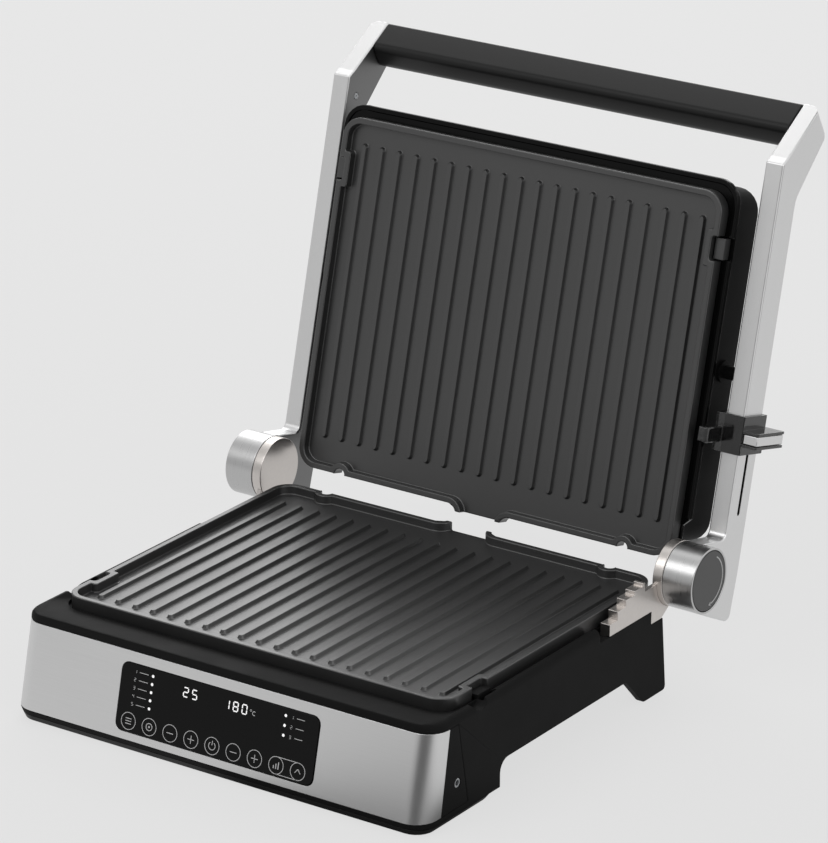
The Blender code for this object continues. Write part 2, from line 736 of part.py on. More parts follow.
def heating_element():
    """Tubular element lying against the underside of the plate."""
    level = PLATE_FLOOR_TOP - PLATE_FLOOR - GAP - ELEMENT_RADIUS
    half = PLATE_HALF - ELEMENT_INSET
    front = PLATE_FRONT + ELEMENT_INSET
    back = WELL_BACK - ELEMENT_INSET / 2
    loop = rounded([(-ELEMENT_TAIL_X, back), (-half, back, ELEMENT_BEND),
                    (-half, front, ELEMENT_BEND), (half, front, ELEMENT_BEND),
                    (half, back, ELEMENT_BEND), (ELEMENT_TAIL_X, back)])
    return tube_along([(x, y, level) for x, y in loop], ELEMENT_RADIUS, 8)


def reflector():
    """Pressed sheet pan with a flange, under the element."""
    half = REFLECTOR_LEDGE_HALF - GAP
    front = -REFLECTOR_BACK - DECK_LEDGE / 3
    top = -REFLECTOR_DROP + GAP + REFLECTOR_SHEET
    low = top - REFLECTOR_PAN_DEPTH
    flange = prism(rectangle(-half, half, front, REFLECTOR_BACK, PLATE_CORNER), "Z",
                   top - REFLECTOR_SHEET, top)
    pan_half = half - REFLECTOR_FLANGE
    pan_front = front + REFLECTOR_FLANGE
    pan_back = REFLECTOR_BACK - REFLECTOR_FLANGE
    pan = prism(rectangle(-pan_half, pan_half, pan_front, pan_back, PLATE_CORNER), "Z", low, top)
    inner = pan_half - REFLECTOR_SHEET
    hollow = prism(rectangle(-inner, inner, pan_front + REFLECTOR_SHEET, pan_back - REFLECTOR_SHEET,
                             PLATE_CORNER - REFLECTOR_SHEET),
                   "Z", low + REFLECTOR_SHEET, top + OVERRUN)
    return cut(join(flange, pan), hollow)


def thermostat():
    """Sensor held between the reflector and the plate."""
    top = PLATE_FLOOR_TOP - PLATE_FLOOR - GAP
    low = -REFLECTOR_DROP + GAP + REFLECTOR_SHEET * 2 - REFLECTOR_PAN_DEPTH + GAP
    shape = turned([(low, 0), (low, THERMOSTAT_STEM), (top - THERMOSTAT_CAP_THICK, THERMOSTAT_STEM),
                    (top - THERMOSTAT_CAP_THICK, THERMOSTAT_CAP), (top, THERMOSTAT_CAP), (top, 0)], 14)
    return moved(shape, Matrix.Translation((0, THERMOSTAT_Y, 0)) @ Matrix.Rotation(-math.pi / 2, 4, "Y"))


def latch_span():
    """Y range of a latch inside the plate's notch."""
    half = LATCH_NOTCH_LENGTH / 2 - LATCH_END_GAP
    return LATCH_NOTCH_Y - half, LATCH_NOTCH_Y + half


def plate_latch(side):
    """Hook over the plate's flange, on a post outside it."""
    post_in = PLATE_HALF + LATCH_POST_GAP
    post_out = post_in + LATCH_THICK
    hook_in = PLATE_HALF - LATCH_NOTCH_DEPTH + LATCH_POST_GAP * 2
    hook_low = PLATE_FLOOR_TOP + GAP
    hook_top = hook_low + LATCH_HOOK_THICK
    foot = PLATE_SEAT - LATCH_POCKET + GAP
    section = [(post_in, foot), (post_out, foot), (post_out, hook_top), (hook_in, hook_top),
               (hook_in, hook_low), (post_in, hook_low)]
    low_y, high_y = latch_span()
    return prism([(side * x, z) for x, z in section], "Y", low_y, high_y)


# Base

def base_housing():
    """Outer shell with deck, plate well, walls, arch and rear legs."""
    lip_low_y = FRONT_BOTTOM_Y + LIP_RETREAT * (LIP_TOP - COVER_SPLIT - GAP) / LIP_TOP
    under = COVER_SPLIT + GAP
    side = rounded([
        (FRONT_TOP_Y, DECK_TOP, DECK_DROP), (BASE_BACK_TOP, DECK_TOP),
        (BASE_BACK_FOOT, FOOT_PROUD, COVER_CHAMFER), (REAR_LEG_FRONT, FOOT_PROUD, BASE_WALL),
        (REAR_LEG_SLOPE_TOP, ARCH_HEIGHT, BASE_WALL), (FRONT_LEG_BACK, ARCH_HEIGHT, ARCH_ROUND),
        (FRONT_LEG_BACK, under), (lip_low_y, under), (FRONT_BOTTOM_Y, LIP_TOP),
        (FRONT_TOP_Y, FASCIA_TOP)])
    housing = prism(side, "X", -BASE_HALF, BASE_HALF)
    levels = [(under, lip_low_y), (LIP_TOP, FRONT_BOTTOM_Y), (FASCIA_TOP, FRONT_TOP_Y)]
    far_back = BASE_BACK_FOOT + OVERRUN
    rings = [plan_ring(level, front, BASE_HALF, BASE_CORNER, far_back) for level, front in levels]
    rings.insert(0, [(x, y, -OVERRUN) for x, y, _ in rings[0]])
    for share in (0, 1 / 3, 2 / 3, 1):
        bend = share * math.pi / 2
        rings.append(plan_ring(DECK_TOP - DECK_ROUND * (1 - math.sin(bend)), FRONT_TOP_Y,
                               BASE_HALF - DECK_ROUND * (1 - math.cos(bend)), BASE_CORNER, far_back))
    rings.append([(x, y, DECK_TOP + OVERRUN) for x, y, _ in rings[-1]])
    keep_common(housing, loft(rings))

    inside = BASE_HALF - BASE_WALL
    leg_gap = BASE_HALF - REAR_LEG_WIDTH
    cut(housing,
        box(-inside, inside, REAR_LEG_SLOPE_TOP - BASE_WALL, REAR_LEG_BLOCK, -OVERRUN, ARCH_HEIGHT),
        box(-leg_gap, leg_gap, REAR_LEG_BLOCK - GAP, far_back, -OVERRUN, ARCH_HEIGHT))

    # Plate well in steps: plate, reflector, then the hollow under the element
    well_half = PLATE_HALF + WELL_GAP
    well_front = PLATE_FRONT - WELL_GAP
    seat = RIB_PLANE + PLATE_SEAT
    well = prism(rounded([(-well_half, far_back), (-well_half, well_front, PLATE_CORNER),
                          (well_half, well_front, PLATE_CORNER), (well_half, far_back)]),
                 "Z", seat, DECK_TOP + OVERRUN)
    ledge_front = -REFLECTOR_BACK - DECK_LEDGE / 3 - GAP
    ledge = prism(rectangle(-REFLECTOR_LEDGE_HALF, REFLECTOR_LEDGE_HALF, ledge_front,
                            REFLECTOR_LEDGE_BACK, PLATE_CORNER),
                  "Z", RIB_PLANE - REFLECTOR_DROP, seat + OVERRUN)
    hollow = prism(rectangle(-WELL_HALF, WELL_HALF, WELL_FRONT, WELL_BACK, PLATE_CORNER),
                   "Z", RIB_PLANE - WELL_DEPTH, seat)
    cut(housing, well, ledge, hollow)

    # Sloping trough of the deck round the front and sides of the plate
    rings = []
    slope = ((DECK_TOP - TROUGH_DROP, GAP, GAP), (DECK_TOP, TROUGH_SIDE, TROUGH_FRONT),
             (DECK_TOP + OVERRUN, TROUGH_SIDE, TROUGH_FRONT))
    for level, side_out, front_out in slope:
        rings.append(plan_ring(level, well_front - front_out, well_half + side_out, PLATE_CORNER,
                               STAIR_NOTCH_Y))
    cut(housing, loft(rings))

    for side_sign in (-1, 1):
        wall = mirrored((PLATE_HALF + WELL_GAP / 2, BASE_HALF + OVERRUN), side_sign)
        cut(housing,
            box(*wall, STAIR_NOTCH_Y, REAR_NOTCH_Y + OVERRUN, RIB_PLANE - STAIR_NOTCH_DROP,
                DECK_TOP + OVERRUN),
            box(*wall, REAR_NOTCH_Y, far_back, RIB_PLANE - REAR_NOTCH_DROP, DECK_TOP + OVERRUN))
        slot = mirrored((BRACKET_INNER - GAP, BASE_HALF - BRACKET_SKIN + GAP), side_sign)
        cut(housing, box(*slot, BRACKET_FRONT - GAP, far_back, BRACKET_BOTTOM - GAP, DECK_TOP + OVERRUN))
        pocket_x = mirrored((PLATE_HALF, PLATE_HALF + LATCH_POST_GAP + LATCH_THICK + LATCH_TRAVEL + GAP),
                            side_sign)
        low_y, high_y = latch_span()
        cut(housing, box(*pocket_x, low_y - GAP, high_y + GAP, seat - LATCH_POCKET, DECK_TOP + OVERRUN))
        scoop = mirrored((SCOOP_INNER, BASE_HALF + OVERRUN), side_sign)
        cut(housing, rod(SCOOP_Y, RIB_PLANE + SCOOP_UP, *scoop, SCOOP_RADIUS))

    # Hollow for the electrics, open below
    roof = RIB_PLANE - WELL_DEPTH - WELL_FLOOR
    wall_in = FASCIA_THICK + GAP + HOUSING_FRONT_WALL
    front_roof = FASCIA_TOP - HOUSING_FRONT_WALL
    step_floor = ARCH_HEIGHT + CAVITY_STEP_FLOOR
    cavity = prism([(fascia_front(front_roof) + wall_in, front_roof),
                    (WELL_FRONT - BASE_WALL * 2, front_roof), (WELL_FRONT - BASE_WALL * 2, roof),
                    (CAVITY_BACK, roof), (CAVITY_BACK, step_floor), (CAVITY_STEP_Y, step_floor),
                    (CAVITY_STEP_Y, -OVERRUN), (fascia_front(-OVERRUN) + wall_in, -OVERRUN)],
                   "X", -inside + BASE_WALL, inside - BASE_WALL)
    cut(housing, cavity)

    # Rebate for the steel skin and the end caps
    rebate = slant_box(CAP_END_TOP_Y + GAP, CAP_END_BOTTOM_Y + GAP, LIP_TOP, FASCIA_TOP,
                       BASE_HALF + OVERRUN)
    core = front_body(FASCIA_THICK + GAP, LIP_TOP - OVERRUN, FASCIA_TOP + OVERRUN, BASE_BACK_TOP)
    cut(rebate, core)
    cut(housing, rebate)

    for side_sign in (-1, 1):
        boss = mirrored((BASE_HALF - CAP_BOSS_DEPTH - GAP, BASE_HALF + OVERRUN), side_sign)
        shank = mirrored((BASE_HALF - BASE_WALL * 3, BASE_HALF), side_sign)
        cut(housing, rod(SCREW_Y, SCREW_Z, *boss, CAP_BOSS + GAP),
            rod(SCREW_Y, SCREW_Z, *shank, SCREW_SHANK + GAP))

    # Window and standoffs for the display board
    frame = panel_matrix()
    back = -FASCIA_THICK - GAP - HOUSING_FRONT_WALL
    window = moved(prism(panel_window(), "Z", back - OVERRUN, 0), frame)
    cut(housing, window)
    for x, y in board_corners():
        standoff = prism(circle(x, y, BOARD_BOSS), "Z", back - BOARD_STANDOFF, back + GAP)
        join(housing, moved(standoff, frame))

    # Inlet for the cord gland in the rear wall
    recess = box(GLAND_X - GLAND_RECESS_HALF, GLAND_X + GLAND_RECESS_HALF, BASE_BACK_TOP + GAP,
                 far_back, GLAND_Z - GLAND_RECESS_HALF, GLAND_Z + GLAND_RECESS_HALF)
    inlet = prism(circle(GLAND_X, GLAND_Z, GLAND_RADIUS + GAP), "Y", CAVITY_BACK - OVERRUN, far_back)
    cut(housing, recess, inlet)

    # Rails that carry the drip tray
    for side_sign in (-1, 1):
        web_in = TRAY_HALF + TRAY_FLANGE + GAP * 2
        web = mirrored((web_in, web_in + RAIL_WEB), side_sign)
        shelf = mirrored((TRAY_HALF + GAP * 2, web_in + RAIL_WEB), side_sign)
        shelf_top = TRAY_TOP - TRAY_FLANGE_THICK - GAP
        join(housing, box(*web, RAIL_FRONT, RAIL_BACK, shelf_top - RAIL_WEB, ARCH_HEIGHT + GAP),
             box(*shelf, RAIL_FRONT, RAIL_BACK, shelf_top - RAIL_WEB, shelf_top))
        foot = prism(circle(side_sign * REAR_FOOT_X, REAR_FOOT_Y, REAR_FOOT_RADIUS + GAP), "Z", -OVERRUN,
                     FOOT_THICK + GAP)
        cut(housing, foot)
    return housing


def front_steel_panel():
    """Steel skin that wraps the front corners, with the control window."""
    skin = front_body(0, LIP_TOP + GAP, FASCIA_TOP - GAP, BASE_BACK_TOP)
    cut(skin, front_body(FASCIA_THICK, LIP_TOP - OVERRUN, FASCIA_TOP + OVERRUN, BASE_BACK_TOP + OVERRUN))
    keep_common(skin, slant_box(STEEL_END_TOP_Y, STEEL_END_BOTTOM_Y, LIP_TOP - OVERRUN,
                                FASCIA_TOP + OVERRUN, BASE_HALF + OVERRUN))
    window = moved(prism(panel_outline(0), "Z", -BASE_CORNER, BASE_CORNER), panel_matrix())
    return cut(skin, window)


def control_glass():
    """Black glass of the control panel, a little proud of the steel."""
    return moved(prism(panel_outline(GAP), "Z", -FASCIA_THICK, PANEL_PROUD), panel_matrix())


def display_board():
    """Circuit board on its standoffs, with a digit block that reaches up to the glass."""
    back = -FASCIA_THICK - GAP - HOUSING_FRONT_WALL - BOARD_STANDOFF - GAP
    top = -PANEL_TOP_DOWN - BOARD_MARGIN
    low = -PANEL_TOP_DOWN - PANEL_HEIGHT + BOARD_MARGIN
    board = prism(rectangle(-BOARD_HALF, BOARD_HALF, low, top), "Z", back - BOARD_THICK, back)
    digits = prism(rectangle(-DIGIT_BLOCK_HALF, DIGIT_BLOCK_HALF,
                             -PANEL_TOP_DOWN - DIGIT_BLOCK_TOP - DIGIT_BLOCK_HEIGHT,
                             -PANEL_TOP_DOWN - DIGIT_BLOCK_TOP),
                   "Z", back - BOARD_THICK / 2, -FASCIA_THICK - GAP)
    return moved(join(board, digits), panel_matrix())


def fascia_cap(side):
    """Black end cap between the steel and the side wall, with a boss for its screw."""
    skin = front_body(0, LIP_TOP + GAP, FASCIA_TOP - GAP, BASE_BACK_TOP)
    cut(skin, front_body(FASCIA_THICK, LIP_TOP - OVERRUN, FASCIA_TOP + OVERRUN, BASE_BACK_TOP + OVERRUN))
    far = BASE_HALF + OVERRUN
    keep_common(skin, slant_box(CAP_END_TOP_Y, CAP_END_BOTTOM_Y, LIP_TOP - OVERRUN,
                                FASCIA_TOP + OVERRUN, far))
    cut(skin, slant_box(STEEL_END_TOP_Y + GAP, STEEL_END_BOTTOM_Y + GAP, LIP_TOP - OVERRUN * 2,
                        FASCIA_TOP + OVERRUN * 2, far * 2))
    keep_common(skin, box(*mirrored((BASE_HALF / 2, far * 2), side), FRONT_BOTTOM_Y - OVERRUN, 0,
                          -OVERRUN, DECK_TOP))
    boss = mirrored((BASE_HALF - CAP_BOSS_DEPTH, BASE_HALF), side)
    sink = mirrored((BASE_HALF - SCREW_SUNK, far), side)
    through = mirrored((BASE_HALF - CAP_BOSS_DEPTH - OVERRUN, far), side)
    join(skin, rod(SCREW_Y, SCREW_Z, *boss, CAP_BOSS))
    return cut(skin, rod(SCREW_Y, SCREW_Z, *sink, SCREW_HEAD + GAP),
               rod(SCREW_Y, SCREW_Z, *through, SCREW_SHANK + GAP))


def socket_screw(head, head_thick, shank, length, socket):
    """Screw along X with its head at zero and the shank towards -X."""
    screw = turned([(-length, 0), (-length, shank), (-head_thick, shank), (-head_thick, head),
                    (0, head), (0, 0)], 12)
    return cut(screw, rod(0, 0, -head_thick / 2, OVERRUN, socket, 6))


def at(x, y, z, side=1):
    """Place of a piece drawn for the right side, turned round for the left."""
    turn = Matrix.Identity(4) if side > 0 else Matrix.Rotation(math.pi, 4, "Z")
    return Matrix.Translation((side * x, y, z)) @ turn


def bottom_cover():
    """Cover under the front leg and the middle of the base."""
    lip_y = FRONT_BOTTOM_Y + LIP_RETREAT * (LIP_TOP - COVER_SPLIT) / LIP_TOP
    rings = []
    for level, inset in ((FOOT_PROUD, COVER_CHAMFER), (COVER_SPLIT, 0)):
        outline = rectangle(-BASE_HALF + inset, BASE_HALF - inset, lip_y + inset / 2,
                            FRONT_LEG_BACK - inset, BASE_CORNER - inset)
        rings.append([(x, y, level) for x, y in outline])
    cover = loft(rings)
    inside = BASE_HALF - BASE_WALL * 2 - GAP
    wall_y = FRONT_LEG_BACK - GAP
    sheet_low = ARCH_HEIGHT + GAP
    sheet_top = sheet_low + COVER_SHEET
    sill = CAVITY_STEP_Y - GAP
    strip = rounded([(wall_y - COVER_SHEET, COVER_SPLIT - GAP), (wall_y - COVER_SHEET, sheet_top, ARCH_ROUND),
                     (sill, sheet_top), (sill, sheet_low),
                     (wall_y, sheet_low, ARCH_ROUND - COVER_SHEET), (wall_y, COVER_SPLIT - GAP)])
    join(cover, prism(strip, "X", -inside, inside))
    for x in (-POWER_BOARD_HALF_X + POST_RADIUS, POWER_BOARD_HALF_X - POST_RADIUS):
        for y in (-POWER_BOARD_HALF_Y + POST_RADIUS, POWER_BOARD_HALF_Y - POST_RADIUS):
            join(cover, prism(circle(x, POWER_BOARD_Y + y, POST_RADIUS), "Z", sheet_low + GAP,
                              sheet_top + POST_HEIGHT))
    for side in (-1, 1):
        cut(cover, prism(circle(side * FRONT_FOOT_X, FRONT_FOOT_Y, FOOT_RADIUS + GAP), "Z", -OVERRUN,
                         FOOT_THICK + GAP))
    return cover


def power_board():
    """Board with a relay block, on the cover's posts."""
    low = ARCH_HEIGHT + GAP + COVER_SHEET + POST_HEIGHT + GAP
    board = box(-POWER_BOARD_HALF_X, POWER_BOARD_HALF_X, POWER_BOARD_Y - POWER_BOARD_HALF_Y,
                POWER_BOARD_Y + POWER_BOARD_HALF_Y, low, low + BOARD_THICK)
    width, depth, height = RELAY_SIZE
    return join(board, box(-width, width, POWER_BOARD_Y - depth, POWER_BOARD_Y + depth,
                           low + BOARD_THICK / 2, low + BOARD_THICK + height))


def foot_pad(x, y, radius):
    return prism(circle(x, y, radius), "Z", 0, FOOT_THICK)


def drip_tray():
    """Shallow tray under the spout, with flanges that run on the rails."""
    half = TRAY_HALF
    tray = box(-half, half, TRAY_FRONT, TRAY_BACK, TRAY_LOW, TRAY_TOP)
    flange_low = TRAY_TOP - TRAY_FLANGE_THICK
    join(tray, box(-half - TRAY_FLANGE, half + TRAY_FLANGE, TRAY_FRONT, TRAY_BACK, flange_low, TRAY_TOP))
    pull_end = TRAY_BACK + TRAY_PULL
    pull = prism(rounded([(-half / 2, TRAY_BACK - TRAY_WALL), (-half / 2, pull_end, TRAY_PULL / 2),
                          (half / 2, pull_end, TRAY_PULL / 2), (half / 2, TRAY_BACK - TRAY_WALL)]),
                 "Z", flange_low, TRAY_TOP)
    join(tray, pull)
    return cut(tray, prism(rectangle(-half + TRAY_WALL, half - TRAY_WALL, TRAY_FRONT + TRAY_WALL,
                                     TRAY_BACK - TRAY_WALL, TRAY_WALL), "Z", TRAY_LOW + TRAY_WALL,
                           TRAY_TOP + OVERRUN))


def cord_gland():
    """Inlet bush for the supply cord, with a flange outside and a collar inside."""
    outside = BASE_BACK_TOP + GAP * 2
    inside = CAVITY_BACK - GAP
    shape = turned([(inside - GLAND_FLANGE_THICK, 0), (inside - GLAND_FLANGE_THICK, GLAND_COLLAR),
                    (inside, GLAND_COLLAR), (inside, GLAND_RADIUS), (outside, GLAND_RADIUS),
                    (outside, GLAND_FLANGE), (outside + GLAND_FLANGE_THICK, GLAND_FLANGE),
                    (outside + GLAND_FLANGE_THICK * 3, GLAND_RADIUS),
                    (outside + GLAND_FLANGE_THICK * 3, 0)], 16)
    cut(shape, rod(0, 0, inside - OVERRUN * 2, outside + OVERRUN * 4, GLAND_BORE))
    return moved(shape, Matrix.Translation((GLAND_X, 0, GLAND_Z)) @ Matrix.Rotation(math.pi / 2, 4, "Z"))


# Hinge brackets and axles

def hinge_bracket(side, with_stairs):
    """Metal bracket in the side wall's slot, with the eye that carries the axle."""
    skin_in = BASE_HALF - BRACKET_SKIN
    wall_top = RIB_PLANE - STAIR_NOTCH_DROP + GAP
    rear_top = RIB_PLANE - REAR_NOTCH_DROP + GAP
    foot_high = RIB_PLANE - BRACKET_FOOT_TOP
    foot = prism([(BRACKET_FRONT, BRACKET_BOTTOM), (BASE_BACK_TOP, BRACKET_BOTTOM),
                  (BASE_BACK_TOP, foot_high), (BRACKET_FRONT, foot_high)],
                 "X", *mirrored((BRACKET_INNER, skin_in - GAP), side))
    eye_reach = HUB_RADIUS * EYE_SHARE
    web = [(REAR_NOTCH_Y + GAP, rear_top), (BASE_BACK_TOP, rear_top), (HINGE_Y, HINGE_Z - eye_reach)]
    if with_stairs:
        web = [(STAIR_RUNS[-1], wall_top), (REAR_NOTCH_Y + GAP, wall_top)] + web
        web += [(HINGE_Y, RIB_PLANE + WEB_TOP), (STAIR_RUNS[-1], RIB_PLANE + WEB_TOP)]
        stairs = [(BRACKET_FRONT, wall_top)]
        for index, (run, top) in enumerate(zip(STAIR_RUNS, STAIR_TOPS)):
            ends = STAIR_RUNS[1:] + [STAIR_END]
            stairs += [(run, RIB_PLANE + top), (ends[index], RIB_PLANE + top)]
        stairs.append((STAIR_END, wall_top))
        join(foot, prism(stairs, "X", *mirrored((BRACKET_INNER, BASE_HALF), side)))
    else:
        web += [(HINGE_Y, HINGE_Z), (HINGE_Y - eye_reach, HINGE_Z)]
    join(foot, prism(web, "X", *mirrored((skin_in - GAP * 2, BASE_HALF), side)))
    eye = soften(rod(HINGE_Y, HINGE_Z, *mirrored((EYE_INNER, EYE_OUTER), side), HUB_RADIUS),
                 ARM_EDGE / 2, 1)
    join(foot, eye)
    bore = mirrored((EYE_OUTER - AXLE_EMBED - GAP, EYE_OUTER + OVERRUN), side)
    return cut(foot, rod(HINGE_Y, HINGE_Z, *bore, AXLE_RADIUS + GAP))


def hinge_axle(side):
    span = mirrored((EYE_OUTER - AXLE_EMBED, ARM_INNER + AXLE_REACH - GAP), side)
    return rod(HINGE_Y, HINGE_Z, *span, AXLE_RADIUS)


# Lid, drawn round the hinge axis with the arms upright: X across, -Y to the front, Z up the arm

def slant_point(along, across):
    """Point on the slanted tip: along from the tip's top edge, across into the arm."""
    start = Vector((-SLANT_START_FRONT, SLANT_START))
    run = Vector((1, 1)).normalized()
    inward = Vector((1, -1)).normalized()
    top = start + run * SLANT_LENGTH
    return top - run * along + inward * across


def arm_outline():
    """Side view of an arm: hub, heel, straight and bent tip."""
    hub = [(HUB_RADIUS * math.sin(t), HUB_RADIUS * math.cos(t))
           for t in [math.radians(a) for a in range(0, -176, -11)]]
    tip_top = slant_point(0, 0)
    tip_back = slant_point(ARM_TIP_LEAN, ARM_TIP_DEPTH)
    rest = rounded([hub[0], hub[-1],
                    (-HEEL_BACK, -HEEL_DROP, BASE_WALL), (-ARM_BACK, 0, BASE_CORNER),
                    (-ARM_BACK, ARM_BEND_BACK, BASE_CORNER), (*tip_back, BASE_WALL),
                    (*tip_top, ARM_EDGE), (-SLANT_START_FRONT, SLANT_START, ARM_EDGE * 2),
                    (-ARM_FRONT, ARM_BEND_FRONT, ARM_EDGE * 2),
                    (-ARM_FRONT, HUB_RADIUS + ARM_EDGE, BASE_WALL)])
    return hub[1:-1] + rest[1:] + [rest[0]]


def rod_point():
    """Place of the handle's rod in the side view."""
    return slant_point(HANDLE_MID_DOWN + ROD_FORWARD, ROD_DOWN)


def arm(side, with_slot):
    """Arm with its hub drum, one casting."""
    bar = soften(prism(arm_outline(), "X", *mirrored((ARM_INNER, ARM_OUTER), side)), ARM_EDGE, 1)
    drum = soften(rod(0, 0, *mirrored((ARM_INNER, HUB_OUTER), side), HUB_RADIUS), ARM_EDGE / 2, 1)
    join(bar, drum)
    recess = mirrored((HUB_OUTER - CAP_DISC_THICK - BUTTON_TRAVEL - GAP, HUB_OUTER + OVERRUN), side)
    spring = mirrored((ARM_INNER + AXLE_REACH, HUB_OUTER), side)
    axle = mirrored((ARM_INNER - OVERRUN, HUB_OUTER - BUTTON_TRAVEL), side)
    cut(bar, rod(0, 0, *recess, CAP_DISC + GAP), rod(0, 0, *spring, SPRING_BORE),
        rod(0, 0, *axle, AXLE_RADIUS + GAP))
    blind = mirrored((ARM_INNER - OVERRUN, ARM_INNER + BLIND_DEPTH), side)
    cut(bar, rod(*rod_point(), *blind, ROD_RADIUS + GAP),
        rod(FLOAT_BACK, FLOAT_UP, *blind, FLOAT_PIN + GAP))
    head = mirrored((ARM_INNER - OVERRUN, ARM_INNER + ARM_SCREW_THICK + GAP), side)
    shank = mirrored((ARM_INNER - OVERRUN, ARM_INNER + ARM_SCREW_LENGTH + GAP), side)
    cut(bar, rod(-ARM_SCREW_FRONT, ARM_SCREW_UP, *head, ARM_SCREW_HEAD + GAP),
        rod(-ARM_SCREW_FRONT, ARM_SCREW_UP, *shank, ARM_SCREW_HEAD / 2 + GAP))
    if with_slot:
        top = SLIDER_PIN_UP + SLOT_HALF + GAP
        middle = -(ARM_FRONT + ARM_BACK) / 2
        slot = rectangle(middle - SLOT_HALF, middle + SLOT_HALF, SLOT_BOTTOM, top, SLOT_HALF)
        cut(bar, prism(slot, "X", *mirrored((ARM_OUTER - SLOT_DEPTH, ARM_OUTER + OVERRUN), side)))
    return bar


def handle_bar():
    """D-shaped grip, its flat in line with the arms' slanted tips."""
    mid = HANDLE_MID_DOWN
    corners = [(mid - HANDLE_FLAT_BACK, 0, ARM_EDGE * 2), (mid + HANDLE_FLAT_FRONT, 0, BASE_WALL),
               (mid + HANDLE_FLAT_FRONT, HANDLE_DEPTH, HANDLE_DEPTH / 2),
               (mid - HANDLE_BELLY_BACK, HANDLE_DEPTH, HANDLE_DEPTH / 4)]
    section = rounded([(*slant_point(along, across), radius) for along, across, radius in corners])
    half = ARM_INNER - GAP
    bar = prism(section, "X", -half, half)
    return cut(bar, rod(*rod_point(), -half - OVERRUN, half + OVERRUN, ROD_RADIUS + GAP))


def handle_rod():
    reach = ARM_INNER + BLIND_DEPTH - GAP
    return rod(*rod_point(), -reach, reach, ROD_RADIUS)


def hub_disc(with_stem):
    """Cap disc in the drum's recess; the button's disc has a stem behind it."""
    inner = HUB_OUTER - CAP_DISC_THICK
    stem = inner - BUTTON_STEM_LENGTH
    floor = inner - BUTTON_TRAVEL
    edge = ARM_EDGE / 2
    face = [(inner, CAP_DISC), (HUB_OUTER - edge, CAP_DISC), (HUB_OUTER, CAP_DISC - edge), (HUB_OUTER, 0)]
    if with_stem:
        return turned([(stem, 0), (stem, BUTTON_STEM), (inner, BUTTON_STEM)] + face)
    seat = [(floor - BUTTON_STEM_LENGTH, 0), (floor - BUTTON_STEM_LENGTH, SPRING_BORE - GAP),
            (floor, SPRING_BORE - GAP), (floor, CAP_DISC)]
    return turned(seat + face[1:])


def button_spring():
    """Coil spring on the floor of the drum's bore."""
    radius = SPRING_BORE - GAP * 2 - SPRING_WIRE
    start = ARM_INNER + AXLE_REACH + GAP + SPRING_WIRE
    end = HUB_OUTER - CAP_DISC_THICK - BUTTON_TRAVEL - GAP - SPRING_WIRE
    steps = SPRING_TURNS * 12
    route = []
    for step in range(steps + 1):
        turn = math.tau * SPRING_TURNS * step / steps
        route.append((start + (end - start) * step / steps, radius * math.cos(turn), radius * math.sin(turn)))
    return tube_along(route, SPRING_WIRE, 5)


def height_slider():
    """Sleeve round the right arm with two flanges, a stop finger and a guide pin."""
    front = ARM_FRONT + GAP + SLIDER_FRONT_WALL
    back = ARM_BACK - GAP - SLIDER_BACK_WALL
    inner = ARM_INNER - GAP - SLIDER_INNER_WALL
    outer = ARM_OUTER + GAP + SLIDER_OUTER_WALL
    sleeve = prism(rectangle(inner, outer, -front, -back, ARM_EDGE), "Z", SLIDER_BOTTOM, SLIDER_TOP)
    for low in (FLANGE_LOW, FLANGE_HIGH):
        flange = rectangle(inner + ARM_EDGE, FLANGE_OUT, -front + FLANGE_SETBACK, -FLANGE_BACK, ARM_EDGE)
        join(sleeve, prism(flange, "Z", low, low + FLANGE_THICK))
    finger = box(FINGER_INNER, ARM_INNER - GAP, -FINGER_FRONT, -ARM_FRONT + GAP * 2, FLANGE_LOW + GAP,
                 FLANGE_HIGH + FLANGE_THICK - GAP)
    join(sleeve, soften(finger, ARM_EDGE, 1))
    bore = box(ARM_INNER - GAP, ARM_OUTER + GAP, -ARM_FRONT - GAP, -ARM_BACK + GAP, SLIDER_BOTTOM - OVERRUN,
               SLIDER_TOP + OVERRUN)
    cut(sleeve, bore)
    middle = -(ARM_FRONT + ARM_BACK) / 2
    return join(sleeve, rod(middle, SLIDER_PIN_UP, ARM_OUTER - SLOT_DEPTH + GAP, outer - GAP, SLIDER_PIN))


def slider_grip():
    """Bright block held between the slider's flanges."""
    front = ARM_FRONT + GAP + SLIDER_FRONT_WALL - FLANGE_SETBACK
    outer = ARM_OUTER + GAP + SLIDER_OUTER_WALL
    grip = box(outer + GAP, FLANGE_OUT - GAP, -front + GAP, -FLANGE_BACK - GAP,
               FLANGE_LOW + FLANGE_THICK + GAP, FLANGE_HIGH - GAP)
    return soften(grip, ARM_EDGE / 2, 1)


def float_pin():
    """Pin with a flange between the right arm and the upper housing."""
    wall = PLATE_HALF
    profile = [(wall - FLOAT_PIN_INNER, 0), (wall - FLOAT_PIN_INNER, FLOAT_PIN), (wall + GAP, FLOAT_PIN),
               (wall + GAP, FLOAT_FLANGE), (wall + GAP + FLOAT_FLANGE_THICK, FLOAT_FLANGE),
               (wall + GAP + FLOAT_FLANGE_THICK, FLOAT_PIN), (ARM_INNER + BLIND_DEPTH - GAP, FLOAT_PIN),
               (ARM_INNER + BLIND_DEPTH - GAP, 0)]
    return turned(profile, 16)


# Upper housing, drawn in the upper plate's own frame

def upper_plate_matrix():
    """Plate frame inside the lid: its hinge side down, its ribs to the front."""
    turn = Matrix(((-1, 0, 0), (0, 0, -1), (0, -1, 0))).to_4x4()
    return Matrix.Translation((0, LID_PLATE_SETBACK, LID_PLATE_START + RIB_END)) @ turn


